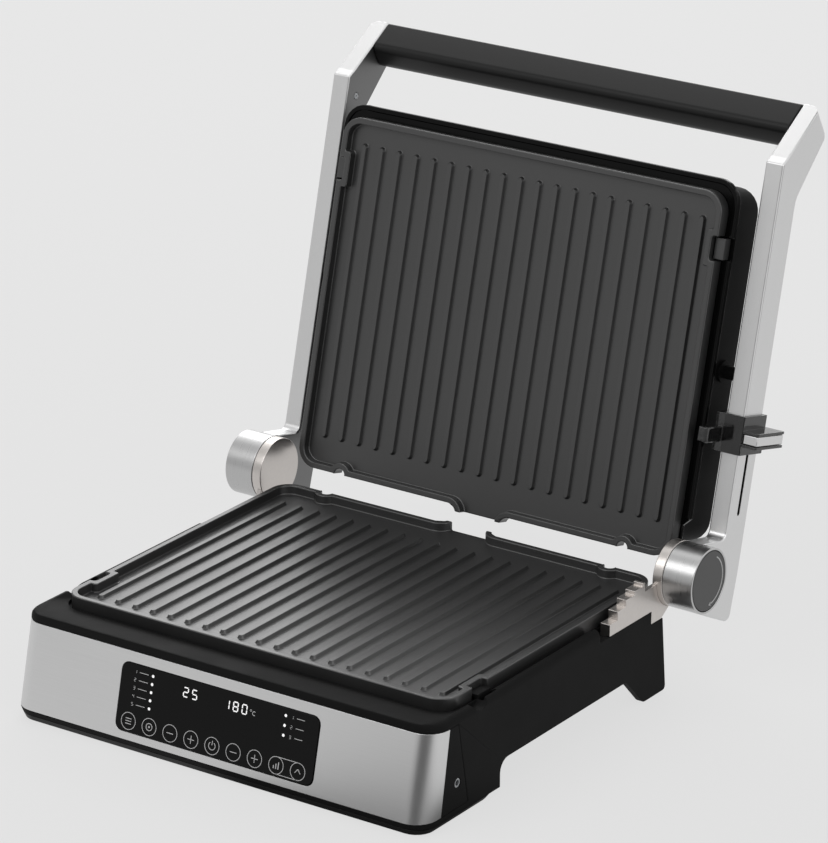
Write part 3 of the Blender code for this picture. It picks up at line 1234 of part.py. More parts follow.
def frame_outline(inset, round_by):
    """Outline of the upper frame with its clipped lower corners."""
    side = PLATE_HALF + FRAME_SIDE_OUT - inset
    front = PLATE_FRONT - FRAME_FRONT_OUT + inset
    hinge = RIB_END
    back = hinge + FRAME_HINGE_END - inset
    right = [(side, front, round_by), (side, hinge - FRAME_NOTCH_START, ARM_EDGE),
             (side - FRAME_NOTCH, hinge - FRAME_NOTCH_START + FRAME_NOTCH, ARM_EDGE),
             (side - FRAME_NOTCH, back, BASE_WALL)]
    return rounded(right + [(-x, y, r) for x, y, r in reversed(right)])


def cover_rectangle(inset, corner):
    """Plan of the upper cover, drawn in by an inset."""
    return rectangle(-PLATE_HALF + inset, PLATE_HALF - inset, PLATE_FRONT - COVER_FRONT_OUT + inset,
                     RIB_END + FRAME_HINGE_END - inset, corner)


def upper_frame():
    """Flange round the upper plate, with a spigot that fits inside the cover."""
    low = PLATE_SEAT - FRAME_THICK
    frame = prism(frame_outline(0, FRAME_CORNER), "Z", low, PLATE_SEAT + FRAME_LIP_RISE)
    floor = prism(frame_outline(FRAME_LIP, FRAME_CORNER - FRAME_LIP), "Z", PLATE_SEAT,
                  PLATE_SEAT + FRAME_LIP_RISE + OVERRUN)
    open_back = box(-BASE_HALF, BASE_HALF, RIB_END - FRAME_NOTCH_START,
                    RIB_END + FRAME_HINGE_END + OVERRUN, PLATE_SEAT,
                    PLATE_SEAT + FRAME_LIP_RISE + OVERRUN)
    cut(frame, floor, open_back)
    spigot = prism(cover_rectangle(COVER_WALL + GAP, COVER_CORNER - COVER_WALL), "Z", low - SPIGOT_LENGTH,
                   low + GAP)
    join(frame, spigot)
    window = prism(cover_rectangle(COVER_WALL + GAP + SPIGOT_WALL, COVER_CORNER - COVER_WALL - SPIGOT_WALL),
                   "Z", low - SPIGOT_LENGTH - OVERRUN, low)
    opening = prism(cover_rectangle(FRAME_WINDOW_IN, COVER_CORNER - COVER_WALL), "Z", low - OVERRUN,
                    PLATE_SEAT + OVERRUN)
    cut(frame, window, opening)
    low_y, high_y = latch_span()
    for side in (-1, 1):
        span = mirrored((PLATE_HALF + LATCH_POST_GAP - GAP, PLATE_HALF + FRAME_SIDE_OUT + OVERRUN), side)
        cut(frame, box(*span, low_y - GAP, high_y + GAP, PLATE_SEAT - LATCH_POCKET,
                       PLATE_SEAT + OVERRUN))
    return frame


def upper_cover():
    """Rear shell of the upper housing."""
    top = PLATE_SEAT - FRAME_THICK - GAP
    low = top - COVER_DEPTH

    def shell(wall, first, last):
        rings = [[(x, y, first) for x, y in cover_rectangle(wall, COVER_CORNER - wall)]]
        for share in (0, 1 / 3, 2 / 3, 1):
            bend = share * math.pi / 2
            inset = wall + COVER_ROUND * (1 - math.cos(bend))
            level = last + COVER_ROUND * (1 - math.sin(bend))
            rings.append([(x, y, level) for x, y in cover_rectangle(inset, COVER_CORNER - wall)])
        return loft(rings)

    cover = shell(0, top, low)
    cut(cover, shell(COVER_WALL, top + OVERRUN, low + COVER_WALL))
    pivot_y, pivot_z = float_in_plate()
    return cut(cover, rod(pivot_y, pivot_z, -BASE_HALF, BASE_HALF, FLOAT_PIN + GAP))


def float_in_plate():
    """Y and Z of the float axis in the upper plate's frame."""
    place = upper_plate_matrix().inverted() @ Vector((0, FLOAT_BACK, FLOAT_UP))
    return place.y, place.z


# Assembly

for leftover in list(bpy.data.objects):
    bpy.data.objects.remove(leftover)

BLACK = material("black plastic", "262626", 0.45, 0)
GLOSS_BLACK = material("glossy black plastic", "121212", 0.2, 0)
GLASS = material("black glass", "0B0B0B", 0.08, 0)
NONSTICK = material("non-stick aluminium", "3F3F3F", 0.35, 0.1)
STEEL = material("brushed steel", "B4B4B4", 0.3, 1)
SATIN = material("satin aluminium", "C8C8C8", 0.35, 1)
BRACKET = material("cast bracket metal", "CFCBC8", 0.35, 1)
DARK_GREY = material("dark grey disc", "4D4D4D", 0.5, 0)
SMOKE = material("smoke plastic", "3A3A3A", 0.15, 0)
RUBBER = material("rubber", "1C1C1C", 0.9, 0)
BOARD = material("circuit board", "1F5A34", 0.5, 0)
ELEMENT = material("element tube", "6A6660", 0.4, 1)
REFLECTOR = material("aluminised sheet", "A8A8A8", 0.25, 1)


def back_edge():
    """Largest Y that the leaning arms reach."""
    reach = [HINGE_Y + y * math.cos(LID_LEAN) + z * math.sin(LID_LEAN) for y, z in arm_outline()]
    return max(reach)


origin = empty("grill_origin", None, (-(FLANGE_OUT - HUB_OUTER) / 2, -(FRONT_BOTTOM_Y + back_edge()) / 2, 0))
lid = empty("lid_axis", origin, (0, HINGE_Y, HINGE_Z), LID_LEAN)
float_axis = empty("float_axis", lid, (0, FLOAT_BACK, FLOAT_UP))
lower = empty("lower_plate_frame", origin, (0, 0, RIB_PLANE))
upper = empty("upper_plate_frame", float_axis, (0, 0, 0))
upper.matrix_local = Matrix.Translation((0, -FLOAT_BACK, -FLOAT_UP)) @ upper_plate_matrix()

finish(base_housing(), "base_housing", BLACK, origin)
finish(front_steel_panel(), "front_steel_panel", STEEL, origin)
finish(control_glass(), "control_glass", GLASS, origin)
finish(display_board(), "display_board", BOARD, origin)
finish(bottom_cover(), "bottom_cover", BLACK, origin)
finish(power_board(), "power_board", BOARD, origin)
finish(drip_tray(), "drip_tray", GLOSS_BLACK, origin)
finish(cord_gland(), "cord_gland", BLACK, origin)

for side_name, sign in (("left", -1), ("right", 1)):
    finish(fascia_cap(sign), f"fascia_cap_{side_name}", BLACK, origin)
    screw = socket_screw(SCREW_HEAD, SCREW_HEAD_THICK, SCREW_SHANK, SCREW_LENGTH, SCREW_SOCKET)
    head_x = BASE_HALF - SCREW_SUNK + SCREW_HEAD_THICK + GAP
    finish(moved(screw, at(head_x, SCREW_Y, SCREW_Z, sign)), f"fascia_screw_{side_name}", STEEL, origin)
    front_foot = foot_pad(sign * FRONT_FOOT_X, FRONT_FOOT_Y, FOOT_RADIUS)
    finish(front_foot, f"foot_front_{side_name}", RUBBER, origin)
    rear_foot = foot_pad(sign * REAR_FOOT_X, REAR_FOOT_Y, REAR_FOOT_RADIUS)
    finish(rear_foot, f"foot_rear_{side_name}", RUBBER, origin)
    finish(hinge_axle(sign), f"hinge_axle_{side_name}", STEEL, origin)
    finish(arm(sign, sign > 0), f"arm_{side_name}", SATIN, lid)
    small = socket_screw(ARM_SCREW_HEAD, ARM_SCREW_THICK, ARM_SCREW_HEAD / 2, ARM_SCREW_LENGTH,
                         ARM_SCREW_HEAD / 3)
    moved(small, at(-ARM_INNER, -ARM_SCREW_FRONT, ARM_SCREW_UP, -sign))
    finish(small, f"arm_screw_{side_name}", STEEL, lid)
    finish(moved(float_pin(), at(0, FLOAT_BACK, FLOAT_UP, sign)), f"float_pin_{side_name}", GLOSS_BLACK, lid)

finish(hinge_bracket(1, True), "stair_bracket_right", BRACKET, origin)
finish(hinge_bracket(-1, False), "hinge_bracket_left", BRACKET, origin)
finish(hub_disc(True), "release_button", DARK_GREY, lid)
finish(moved(hub_disc(False), at(0, 0, 0, -1)), "hub_cap_left", DARK_GREY, lid)
finish(button_spring(), "button_spring", STEEL, lid)
finish(handle_bar(), "handle_bar", BLACK, lid)
finish(handle_rod(), "handle_rod", STEEL, lid)
finish(height_slider(), "height_slider", SMOKE, lid)
finish(slider_grip(), "slider_grip", SATIN, lid)
finish(upper_frame(), "upper_frame", GLOSS_BLACK, upper)
finish(upper_cover(), "upper_cover", BLACK, upper)

for level_name, carrier in (("lower", lower), ("upper", upper)):
    finish(grill_plate(), f"{level_name}_grill_plate", NONSTICK, carrier)
    finish(heating_element(), f"{level_name}_heating_element", ELEMENT, carrier)
    finish(reflector(), f"{level_name}_reflector", REFLECTOR, carrier)
    finish(thermostat(), f"{level_name}_thermostat", STEEL, carrier)
    for side_name, sign in (("left", -1), ("right", 1)):
        sign_here = sign if carrier is lower else -sign
        finish(plate_latch(sign_here), f"{level_name}_latch_{side_name}", BLACK, carrier)
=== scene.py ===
"""Looks of a contact grill standing open: steel front, dark touch panel, ribbed plates, lid on two arms."""
import json
import math

import bpy
from mathutils import Matrix, Vector

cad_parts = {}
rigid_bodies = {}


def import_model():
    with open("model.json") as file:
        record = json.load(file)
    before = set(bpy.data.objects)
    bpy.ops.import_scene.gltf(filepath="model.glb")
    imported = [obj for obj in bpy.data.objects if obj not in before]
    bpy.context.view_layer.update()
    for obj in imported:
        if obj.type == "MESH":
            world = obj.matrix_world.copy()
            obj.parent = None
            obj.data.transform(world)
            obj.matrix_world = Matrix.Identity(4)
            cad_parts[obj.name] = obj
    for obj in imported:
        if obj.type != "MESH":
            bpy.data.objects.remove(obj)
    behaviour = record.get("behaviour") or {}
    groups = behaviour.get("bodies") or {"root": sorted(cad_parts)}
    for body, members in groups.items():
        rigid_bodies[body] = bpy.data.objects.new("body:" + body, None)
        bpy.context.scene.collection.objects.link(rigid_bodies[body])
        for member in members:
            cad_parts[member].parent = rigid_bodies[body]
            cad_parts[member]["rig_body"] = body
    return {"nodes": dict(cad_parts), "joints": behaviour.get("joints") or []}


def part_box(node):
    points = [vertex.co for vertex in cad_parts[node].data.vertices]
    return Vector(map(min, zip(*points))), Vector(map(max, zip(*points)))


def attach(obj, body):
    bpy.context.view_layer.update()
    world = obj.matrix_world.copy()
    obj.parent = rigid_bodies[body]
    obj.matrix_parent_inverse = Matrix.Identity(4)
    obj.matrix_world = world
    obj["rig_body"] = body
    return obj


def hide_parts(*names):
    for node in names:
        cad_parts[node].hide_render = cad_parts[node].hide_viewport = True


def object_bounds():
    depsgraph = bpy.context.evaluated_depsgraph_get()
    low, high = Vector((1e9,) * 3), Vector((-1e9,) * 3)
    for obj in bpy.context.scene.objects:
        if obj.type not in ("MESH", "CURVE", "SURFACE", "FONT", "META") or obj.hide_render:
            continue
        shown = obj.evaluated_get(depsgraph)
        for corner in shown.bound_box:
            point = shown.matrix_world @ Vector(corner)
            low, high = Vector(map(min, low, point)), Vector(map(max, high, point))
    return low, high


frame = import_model()
cad_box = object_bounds()

MM = 0.001

# Roundings of edges in millimetres, from screws and sheet to mouldings and castings
FINE_EDGE = 0.2
SHEET_EDGE = 0.25
CRISP_EDGE = 0.3
SLEEVE_EDGE = 0.35
SOFT_EDGE = 0.4
DRUM_EDGE = 0.45
PAD_EDGE = 0.5
BROAD_EDGE = 0.6
CAST_EDGE = 0.8

# Share of a face's normal along an axis past which the face counts as facing that way
FACING = 0.9

# Edges sharper than the first angle are rounded, and shading is smooth up to the second
EDGE_ANGLE = math.radians(40)
SMOOTH_ANGLE = math.radians(32)

# Corners of a CAD shape nearer than this many millimetres are one
MERGE_REACH = 0.01

# Range in which most values of a noise lie
NOISE_LOW = 0.3
NOISE_HIGH = 0.7

# End cap screws: depth of the socket in millimetres, rim and the middle painted black as shade, as shares of
# the radius
SOCKET_DEPTH = 1.2
SOCKET_RIM = 0.42
SOCKET_SHADE_REACH = 0.5

# Thickness of the control glass in millimetres
GLASS_THICK = 1.7

# Lid and panel angles of the real grill
LID_LEAN = math.radians(14)
PANEL_LEAN = math.atan(13.0 / 56.1)

# Plate casting in millimetres; a rib's levels are a height and how far it is drawn in there
PLATE_FRONT_TO_MIDDLE = 118.75
PLATE_RIM = 3.8
RIB_COUNT = 20
RIB_PITCH = 14.0
RIB_LENGTH = 203.5
RIB_FOOT = 5.6
RIB_HEIGHT = 2.3
RIB_SUNK = 0.8
RIB_END_FLAT = 0.1
RIB_LEVELS = ((0.1, 0.25), (0.32, 0.42), (1.95, 1.1), (2.2, 1.22), (2.3, 1.42))
LID_PLATE_SETBACK = 12.1
LID_PLATE_MIDDLE = 127.95
PLATE_HALF = 149.0
PLATE_BACK = 122.75
PLATE_CORNER = 14.0
PLATE_WALL = 4.2
PLATE_FLOOR = 3.5
PLATE_SKIRT = 3.9
SPOUT_HALF = 17.5
SPOUT_CHEEK = 7.0
SPOUT_REACH = 4.6
PEG_X = 113.3
PEG_NOTCH = 4.0
LATCH_NOTCH_Y = -82.4
LATCH_NOTCH_HALF = 8.0
LATCH_NOTCH_DEPTH = 4.5
LATCH_NOTCH_CORNER = 2.2

# How far a cutting tool reaches past what it cuts, in millimetres
PAST = 3.0

# Hubs in millimetres; eye, arm, drum and spring seat are counted from the middle of the grill
HUB_RADIUS = 22.0
EYE_INNER = 156.5
EYE_OUTER = 163.6
ARM_INNER = 163.9
HUB_OUTER = 186.0
HUB_RIM = 1.5
HUB_RECESS = 5.6
HUB_CLEAR = 0.05
AXLE_BORE = 6.3
SPRING_BORE = 9.0
SPRING_SEAT = 171.9
WEB_INWARD = 5.0

# Arms in millimetres: outer face, slanted end, and the right arm's slot with the lid upright
ARM_OUTER = 177.2
GRIP_SLANT = math.radians(30.5)
TIP_ROUND = 7.5
TIP_DEEP = 70.0
SLOT_EDGE = 0.4
SLOT_Y = 41.25
SLOT_REACH = 1.6
SLOT_LOW = 36.0
SLOT_HIGH = 88.0

# Back of the lid's shell: how much of its depth moves, and how far
SHELL_BACK = 8.0
SHELL_DEEPER = 1.6

# Camera, fitted to the view of the real grill
CAMERA_AZIMUTH = math.radians(34.55)
CAMERA_ELEVATION = math.radians(20.751)
CAMERA_ROLL = math.radians(0.241)
CAMERA_DISTANCE = 2.9949
CAMERA_TARGET = Vector((0.04016, -0.056891, 0.197685))
CAMERA_LENS = 202.92
CAMERA_SENSOR = 36
CAMERA_FAR = 50

# Studio air: where it is brightest, its strength opposite, there and for soft light, and its dark side
BRIGHT_SIDE = (0.75, 0.25, 0.61)
AIR_LOW = 0.6
AIR_HIGH = 1.2
AIR_DIFFUSE = 0.5
DARK_SIDE = (0.42, -0.91, 0.04)
DARK_FROM = 0.85
DARK_FULL = 0.96
AIR_DARK = 0.1
BACKDROP = "#E6E6E6"
FLOOR_GLOW = 0.86
FLOOR_SIZE = 30

# Soft boxes: name, place, point they face, size in metres and watts
SOFT_BOXES = (("above", (-0.7, 1.15, 1.85), (0, 0, 0.1), (2.4, 2.2), 7.5),
              ("front", (-0.7, -1.9, 2.0), (0, 0, 0.15), (1.6, 1.2), 15),
              ("over the lid", (-0.87, 1.28, 1.68), (0, 0, 0.1), (1.2, 0.5), 6),
              ("right", (2.4, -0.4, 1.3), (0, 0, 0.2), (1.2, 1.4), 6.5),
              ("behind", (-1.7, 2.5, 1.4), (0, 0, 0.1), (3.0, 1.6), 31))


# Small helpers

def linear(code):
    """Linear colour from an sRGB hex code."""
    channels = [int(code[index:index + 2], 16) / 255 for index in (1, 3, 5)]
    return (*[((c + 0.055) / 1.055) ** 2.4 if c > 0.04 else c / 12.92 for c in channels], 1.0)


def per(size):
    """Texture scale whose features are about size millimetres across."""
    return 1 / (size * MM)


def add(tree, kind, inputs=None, **settings):
    """Shader node with its settings; each input is a value or another node's output."""
    made = tree.nodes.new(kind)
    for name, value in settings.items():
        setattr(made, name, value)
    for name, value in (inputs or {}).items():
        if isinstance(value, bpy.types.NodeSocket):
            tree.links.new(value, made.inputs[name])
        else:
            made.inputs[name].default_value = value
    return made


def begin(name, colour, roughness, metallic=0.0, uniform=None):
    """Principled material with the uniform values set on the shader's own sockets."""
    made = bpy.data.materials.new(name)
    made.use_nodes = True
    tree = made.node_tree
    shader = tree.nodes["Principled BSDF"]
    shader.inputs["Base Color"].default_value = linear(colour)
    shader.inputs["Roughness"].default_value = roughness
    shader.inputs["Metallic"].default_value = metallic
    for socket, value in (uniform or {}).items():
        shader.inputs[socket].default_value = value
    return made, tree, shader


def place_texture(tree, stretch=(1, 1, 1)):
    """Object coordinates, stretched for a pattern."""
    coordinates = add(tree, "ShaderNodeTexCoord")
    return add(tree, "ShaderNodeMapping",
               {"Vector": coordinates.outputs["Object"], "Scale": stretch}).outputs["Vector"]


def noise(tree, where, size, detail=2.0, roughness=0.5):
    """Noise with features of a size in millimetres."""
    return add(tree, "ShaderNodeTexNoise", {"Vector": where, "Scale": per(size), "Detail": detail,
                                            "Roughness": roughness}).outputs["Fac"]


def roughen(tree, shader, pattern, low, high):
    """Roughness that a pattern spreads between two values."""
    spread = add(tree, "ShaderNodeMapRange", {"Value": pattern, "From Min": NOISE_LOW, "From Max": NOISE_HIGH,
                                              "To Min": low, "To Max": high})
    tree.links.new(spread.outputs["Result"], shader.inputs["Roughness"])


def tint(tree, shader, pattern, first, second):
    """Base colour that a pattern blends from two sRGB colours."""
    blend = add(tree, "ShaderNodeMix", data_type="RGBA")
    tree.links.new(pattern, blend.inputs["Factor"])
    blend.inputs["A"].default_value = linear(first)
    blend.inputs["B"].default_value = linear(second)
    tree.links.new(blend.outputs["Result"], shader.inputs["Base Color"])


def raise_surface(tree, shader, height, depth):
    """Bump of a depth in millimetres."""
    bump = add(tree, "ShaderNodeBump", {"Height": height, "Distance": depth * MM, "Strength": 1.0})
    tree.links.new(bump.outputs["Normal"], shader.inputs["Normal"])


# Materials

def moulded_abs():
    """ABS moulded in an eroded tool: deep black with a fine, even grain that dulls the highlights."""
    made, tree, shader = begin("moulded ABS", "#1B1B1B", 0.6, uniform={"Specular IOR Level": 0.05})
    where = place_texture(tree)
    grain = noise(tree, where, 0.35, 3)
    cloud = noise(tree, where, 28)
    tint(tree, shader, cloud, "#191919", "#1D1D1D")
    roughen(tree, shader, cloud, 0.56, 0.64)
    raise_surface(tree, shader, grain, 0.03)
    return made


def polished_abs():
    """ABS from a polished tool: near-black and glossy, with the faint waviness of a thin moulding."""
    made, tree, shader = begin("polished ABS", "#090909", 0.14, uniform={"Specular IOR Level": 0.14})
    where = place_texture(tree)
    wave = noise(tree, where, 24)
    roughen(tree, shader, wave, 0.1, 0.18)
    raise_surface(tree, shader, wave, 0.05)
    return made


def satin_abs():
    """ABS from a satin tool: dark grey with soft broad highlights, as on the bottom cover and the handle."""
    made, tree, shader = begin("satin moulded ABS", "#1A1A1A", 0.4, uniform={"Specular IOR Level": 0.22})
    grain = noise(tree, place_texture(tree), 0.5, 2)
    tint(tree, shader, grain, "#171717", "#1D1D1D")
    raise_surface(tree, shader, grain, 0.006)
    return made


def sprayed_nonstick():
    """Non-stick coat sprayed and baked on die-cast aluminium: dark grey, silky, with fine orange peel."""
    made, tree, shader = begin("sprayed non-stick", "#222222", 0.37, uniform={"Specular IOR Level": 1.0})
    where = place_texture(tree)
    peel = noise(tree, where, 0.9, 2)
    fleck = noise(tree, where, 0.3, 1)
    cloud = noise(tree, where, 45)
    tint(tree, shader, fleck, "#1E1E1E", "#262626")
    roughen(tree, shader, cloud, 0.34, 0.4)
    raise_surface(tree, shader, peel, 0.02)
    return made


def brushed_stainless():
    """Stainless sheet brushed along the grill: long hair lines that smear highlights upwards."""
    made, tree, shader = begin("brushed stainless", "#D6D6D6", 0.32, 1.0)
    # Real hair lines are about 0.05 mm wide; they are drawn 0.5 mm wide so that they show
    where = place_texture(tree, (0.012, 1, 1))
    line = noise(tree, where, 0.5, 4, 0.7)
    tint(tree, shader, line, "#D0D0D0", "#DCDCDC")
    roughen(tree, shader, line, 0.28, 0.36)
    raise_surface(tree, shader, line, 0.006)
    return made


def blasted_aluminium():
    """Aluminium casting, bead-blasted and clear anodised: pale, satin, with a fine even sparkle."""
    made, tree, shader = begin("blasted anodised aluminium", "#D8D8D8", 0.36, 1.0)
    where = place_texture(tree)
    grit = noise(tree, where, 0.4, 3)
    tint(tree, shader, grit, "#D1D1D1", "#DFDFDF")
    roughen(tree, shader, grit, 0.32, 0.42)
    raise_surface(tree, shader, grit, 0.02)
    return made


def satin_painted_reflection():
    """The same casting on the arms' inward faces, painted mid grey as the reflection of the black lid beside
    them: satin, quieter than the outside.
    """
    made, tree, shader = begin("aluminium with painted reflection", "#777777", 0.4, 1.0)
    grit = noise(tree, place_texture(tree), 0.4, 3)
    tint(tree, shader, grit, "#707070", "#7E7E7E")
    raise_surface(tree, shader, grit, 0.02)
    return made


def turned_aluminium():
    """Aluminium turned on a lathe round X: fine rings run round the drum and stretch highlights along it."""
    made, tree, shader = begin("turned aluminium", "#BCBCBC", 0.3, 1.0)
    # Tool marks of 0.1 mm are drawn 0.6 mm apart so that they show
    where = place_texture(tree, (1, 0.03, 0.03))
    ring = noise(tree, where, 0.6, 4, 0.7)
    tint(tree, shader, ring, "#B6B6B6", "#C3C3C3")
    roughen(tree, shader, ring, 0.26, 0.34)
    raise_surface(tree, shader, ring, 0.004)
    return made


def polished_zinc():
    """Zinc die casting, tumbled and nickel plated: warm pale metal, soft highlights, faint casting skin."""
    made, tree, shader = begin("nickel-plated zinc casting", "#CBC6C2", 0.3, 1.0)
    where = place_texture(tree)
    skin = noise(tree, where, 2.2, 3)
    tint(tree, shader, skin, "#C6C1BD", "#D1CCC8")
    roughen(tree, shader, skin, 0.28, 0.34)
    return made


def satin_disc():
    """Dark grey ABS disc with a fine satin texture."""
    made, tree, shader = begin("satin ABS disc", "#474747", 0.5)
    grain = noise(tree, place_texture(tree), 0.3, 2)
    tint(tree, shader, grain, "#434343", "#4C4C4C")
    raise_surface(tree, shader, grain, 0.015)
    return made


def tinted_glass():
    """Tempered glass over black ink: deep black with a clean mirror-like surface."""
    made, tree, shader = begin("tempered black glass", "#0B0B0B", 0.07, uniform={"Specular IOR Level": 0.12})
    wave = noise(tree, place_texture(tree), 60)
    roughen(tree, shader, wave, 0.05, 0.1)
    return made


def printed_ink():
    """White ceramic ink fired on the glass: matt, with the faint mottle of a screen print."""
    made, tree, shader = begin("white ceramic ink", "#C9C9C9", 0.6)
    mottle = noise(tree, place_texture(tree), 0.4, 2)
    tint(tree, shader, mottle, "#C0C0C0", "#D2D2D2")
    return made


def lit_segment():
    """Lit light-emitting segment behind a diffuser: white, with a little glow of its own."""
    made, tree, shader = begin("lit white segment", "#EDEDED", 0.5,
                               uniform={"Emission Color": linear("#F2F2F2"), "Emission Strength": 0.55})
    mottle = noise(tree, place_texture(tree), 0.8, 1)
    tint(tree, shader, mottle, "#E6E6E6", "#F4F4F4")
    return made


def smoke_polycarbonate():
    """Smoke-tinted polycarbonate: glossy dark plastic that lets some light through its walls."""
    made, tree, shader = begin("smoke polycarbonate", "#383838", 0.1,
                               uniform={"IOR": 1.58, "Transmission Weight": 0.8})
    flow = noise(tree, place_texture(tree), 6, 2)
    tint(tree, shader, flow, "#333333", "#3E3E3E")
    roughen(tree, shader, flow, 0.07, 0.14)
    return made


def moulded_rubber():
    """Moulded rubber: matt, nearly black, with a dusty bloom."""
    made, tree, shader = begin("moulded rubber", "#1D1D1D", 0.85)
    bloom = noise(tree, place_texture(tree), 1.5, 3)
    tint(tree, shader, bloom, "#191919", "#242424")
    raise_surface(tree, shader, bloom, 0.03)
    return made


def glass_fibre_board():
    """Glass-fibre circuit board under solder resist: green with darker copper tracks below the lacquer."""
    made, tree, shader = begin("glass-fibre circuit board", "#1F5A34", 0.35)
    tracks = add(tree, "ShaderNodeTexBrick", {"Vector": place_texture(tree), "Scale": per(8.0)})
    tint(tree, shader, tracks.outputs["Fac"], "#1F5A34", "#17452A")
    return made


def heater_tube():
    """Nickel-alloy sheath of a heating element, annealed: straw and blue-grey tints along the tube."""
    made, tree, shader = begin("annealed heater sheath", "#6A6660", 0.42, 1.0)
    bands = noise(tree, place_texture(tree), 14, 3)
    tint(tree, shader, bands, "#5E5C5C", "#7A7064")
    return made


def aluminised_sheet():
    """Rolled aluminised steel: bright, with faint rolling lines."""
    made, tree, shader = begin("aluminised steel sheet", "#A8A8A8", 0.28, 1.0)
    line = noise(tree, place_texture(tree, (1, 0.02, 1)), 0.8, 3)
    roughen(tree, shader, line, 0.22, 0.36)
    return made


def plated_steel():
    """Bright zinc-plated steel: cool grey with a slightly uneven passivated skin."""
    made, tree, shader = begin("zinc-plated steel", "#9FA1A3", 0.3, 1.0)
    skin = noise(tree, place_texture(tree), 1.2, 3)
    tint(tree, shader, skin, "#94979A", "#ABACAD")
    roughen(tree, shader, skin, 0.24, 0.38)
    return made


MOULDED = moulded_abs()
POLISHED = polished_abs()
SATIN_BLACK = satin_abs()
NONSTICK = sprayed_nonstick()
BRUSHED = brushed_stainless()
SATIN = blasted_aluminium()
SATIN_PAINTED_REFLECTION = satin_painted_reflection()
TURNED = turned_aluminium()
ZINC = polished_zinc()
DISC = satin_disc()
GLASS = tinted_glass()
INK = printed_ink()
LIT = lit_segment()
SMOKE = smoke_polycarbonate()
RUBBER = moulded_rubber()
BOARD = glass_fibre_board()
HEATER = heater_tube()
SHEET = aluminised_sheet()
PLATED = plated_steel()


# Modelling helpers

def only(piece):
    """Select one piece and nothing else."""
    bpy.ops.object.select_all(action="DESELECT")
    piece.select_set(True)
    bpy.context.view_layer.objects.active = piece


def apply_modifier(piece, kind, **settings):
    """Add a modifier with its settings and apply it."""
    only(piece)
    step = piece.modifiers.new(kind.lower(), kind)
    for name, value in settings.items():
        setattr(step, name, value)
    bpy.ops.object.modifier_apply(modifier=step.name)


def rounded_edges(piece, width, segments=3):
    """Round every sharp edge."""
    apply_modifier(piece, "BEVEL", width=width * MM, segments=segments, limit_method="ANGLE",
                   angle_limit=EDGE_ANGLE, use_clamp_overlap=False, miter_outer="MITER_ARC")


def smooth(piece):
    """Smooth shading over the rounded edges that leaves the flat faces flat."""
    only(piece)
    bpy.ops.object.shade_smooth_by_angle(angle=SMOOTH_ANGLE)
    apply_modifier(piece, "WEIGHTED_NORMAL", keep_sharp=True, weight=100)


def wear(piece, *finishes):
    """Give a piece its materials, the first everywhere."""
    piece.data.materials.clear()
    for finish in finishes:
        piece.data.materials.append(finish)


def duplicate(piece, name, place=None):
    """Copy of a piece with a mesh of its own, moved by a matrix."""
    copied = bpy.data.objects.new(name, piece.data.copy())
    if place:
        copied.data.transform(place)
    bpy.context.scene.collection.objects.link(copied)
    return copied


def make_quads(piece):
    """Pair the flat triangles into quads, which bevel cleanly also round a hole."""
    only(piece)
    bpy.ops.object.mode_set(mode="EDIT")
    bpy.ops.mesh.select_all(action="SELECT")
    bpy.ops.mesh.tris_convert_to_quads(face_threshold=math.radians(1), shape_threshold=math.pi)
    bpy.ops.object.mode_set(mode="OBJECT")


def copy_of(node, name):
    """Copy of a CAD node's shape with its loose triangles merged and paired."""
    piece = duplicate(frame["nodes"][node], name)
    only(piece)
    bpy.ops.object.mode_set(mode="EDIT")
    bpy.ops.mesh.select_mode(type="VERT")
    bpy.ops.mesh.select_all(action="SELECT")
    bpy.ops.mesh.remove_doubles(threshold=MERGE_REACH * MM)
    bpy.ops.object.mode_set(mode="OBJECT")
    make_quads(piece)
    return piece


def pick_faces(piece, test):
    """Select the faces that pass a test of their centre and normal, in face mode."""
    only(piece)
    bpy.ops.object.mode_set(mode="EDIT")
    bpy.ops.mesh.select_mode(type="FACE")
    bpy.ops.mesh.select_all(action="DESELECT")
    bpy.ops.object.mode_set(mode="OBJECT")
    for face in piece.data.polygons:
        face.select = test(face.center, face.normal)
    bpy.ops.object.mode_set(mode="EDIT")


def hand_over(piece, node):
    """Let a finished piece stand for its CAD node."""
    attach(piece, frame["nodes"][node]["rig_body"])
    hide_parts(node)


def dress(node, name, width, finish, segments=3):
    """Copy of a CAD node with rounded edges and its real finish."""
    piece = copy_of(node, name)
    rounded_edges(piece, width, segments)
    wear(piece, finish)
    smooth(piece)
    hand_over(piece, node)
    return piece


# Places taken from the frame

plate_low, plate_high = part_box("lower_grill_plate")
glass_low, glass_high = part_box("control_glass")
middle_x = (plate_low.x + plate_high.x) / 2
rib_middle_y = plate_low.y + PLATE_FRONT_TO_MIDDLE * MM
hinge = next(Vector(joint["pos_m"]) for joint in frame["joints"] if joint["name"] == "lid_hinge")


def panel_matrix():
    """Frame on the face of the control glass: X across, Y up the slope, Z out of it."""
    thick = GLASS_THICK * MM
    rise, lean = math.cos(PANEL_LEAN), math.sin(PANEL_LEAN)
    height = (glass_high.z - glass_low.z - lean * thick) / rise
    up = Vector((0, lean, rise))
    out = Vector((1, 0, 0)).cross(up)
    centre = Vector((middle_x, glass_low.y + lean * height / 2, glass_high.z - rise * height / 2))
    return Matrix.Translation(centre) @ Matrix(((1, 0, 0), up, out)).transposed().to_4x4()


# Dressed castings, mouldings and sheets

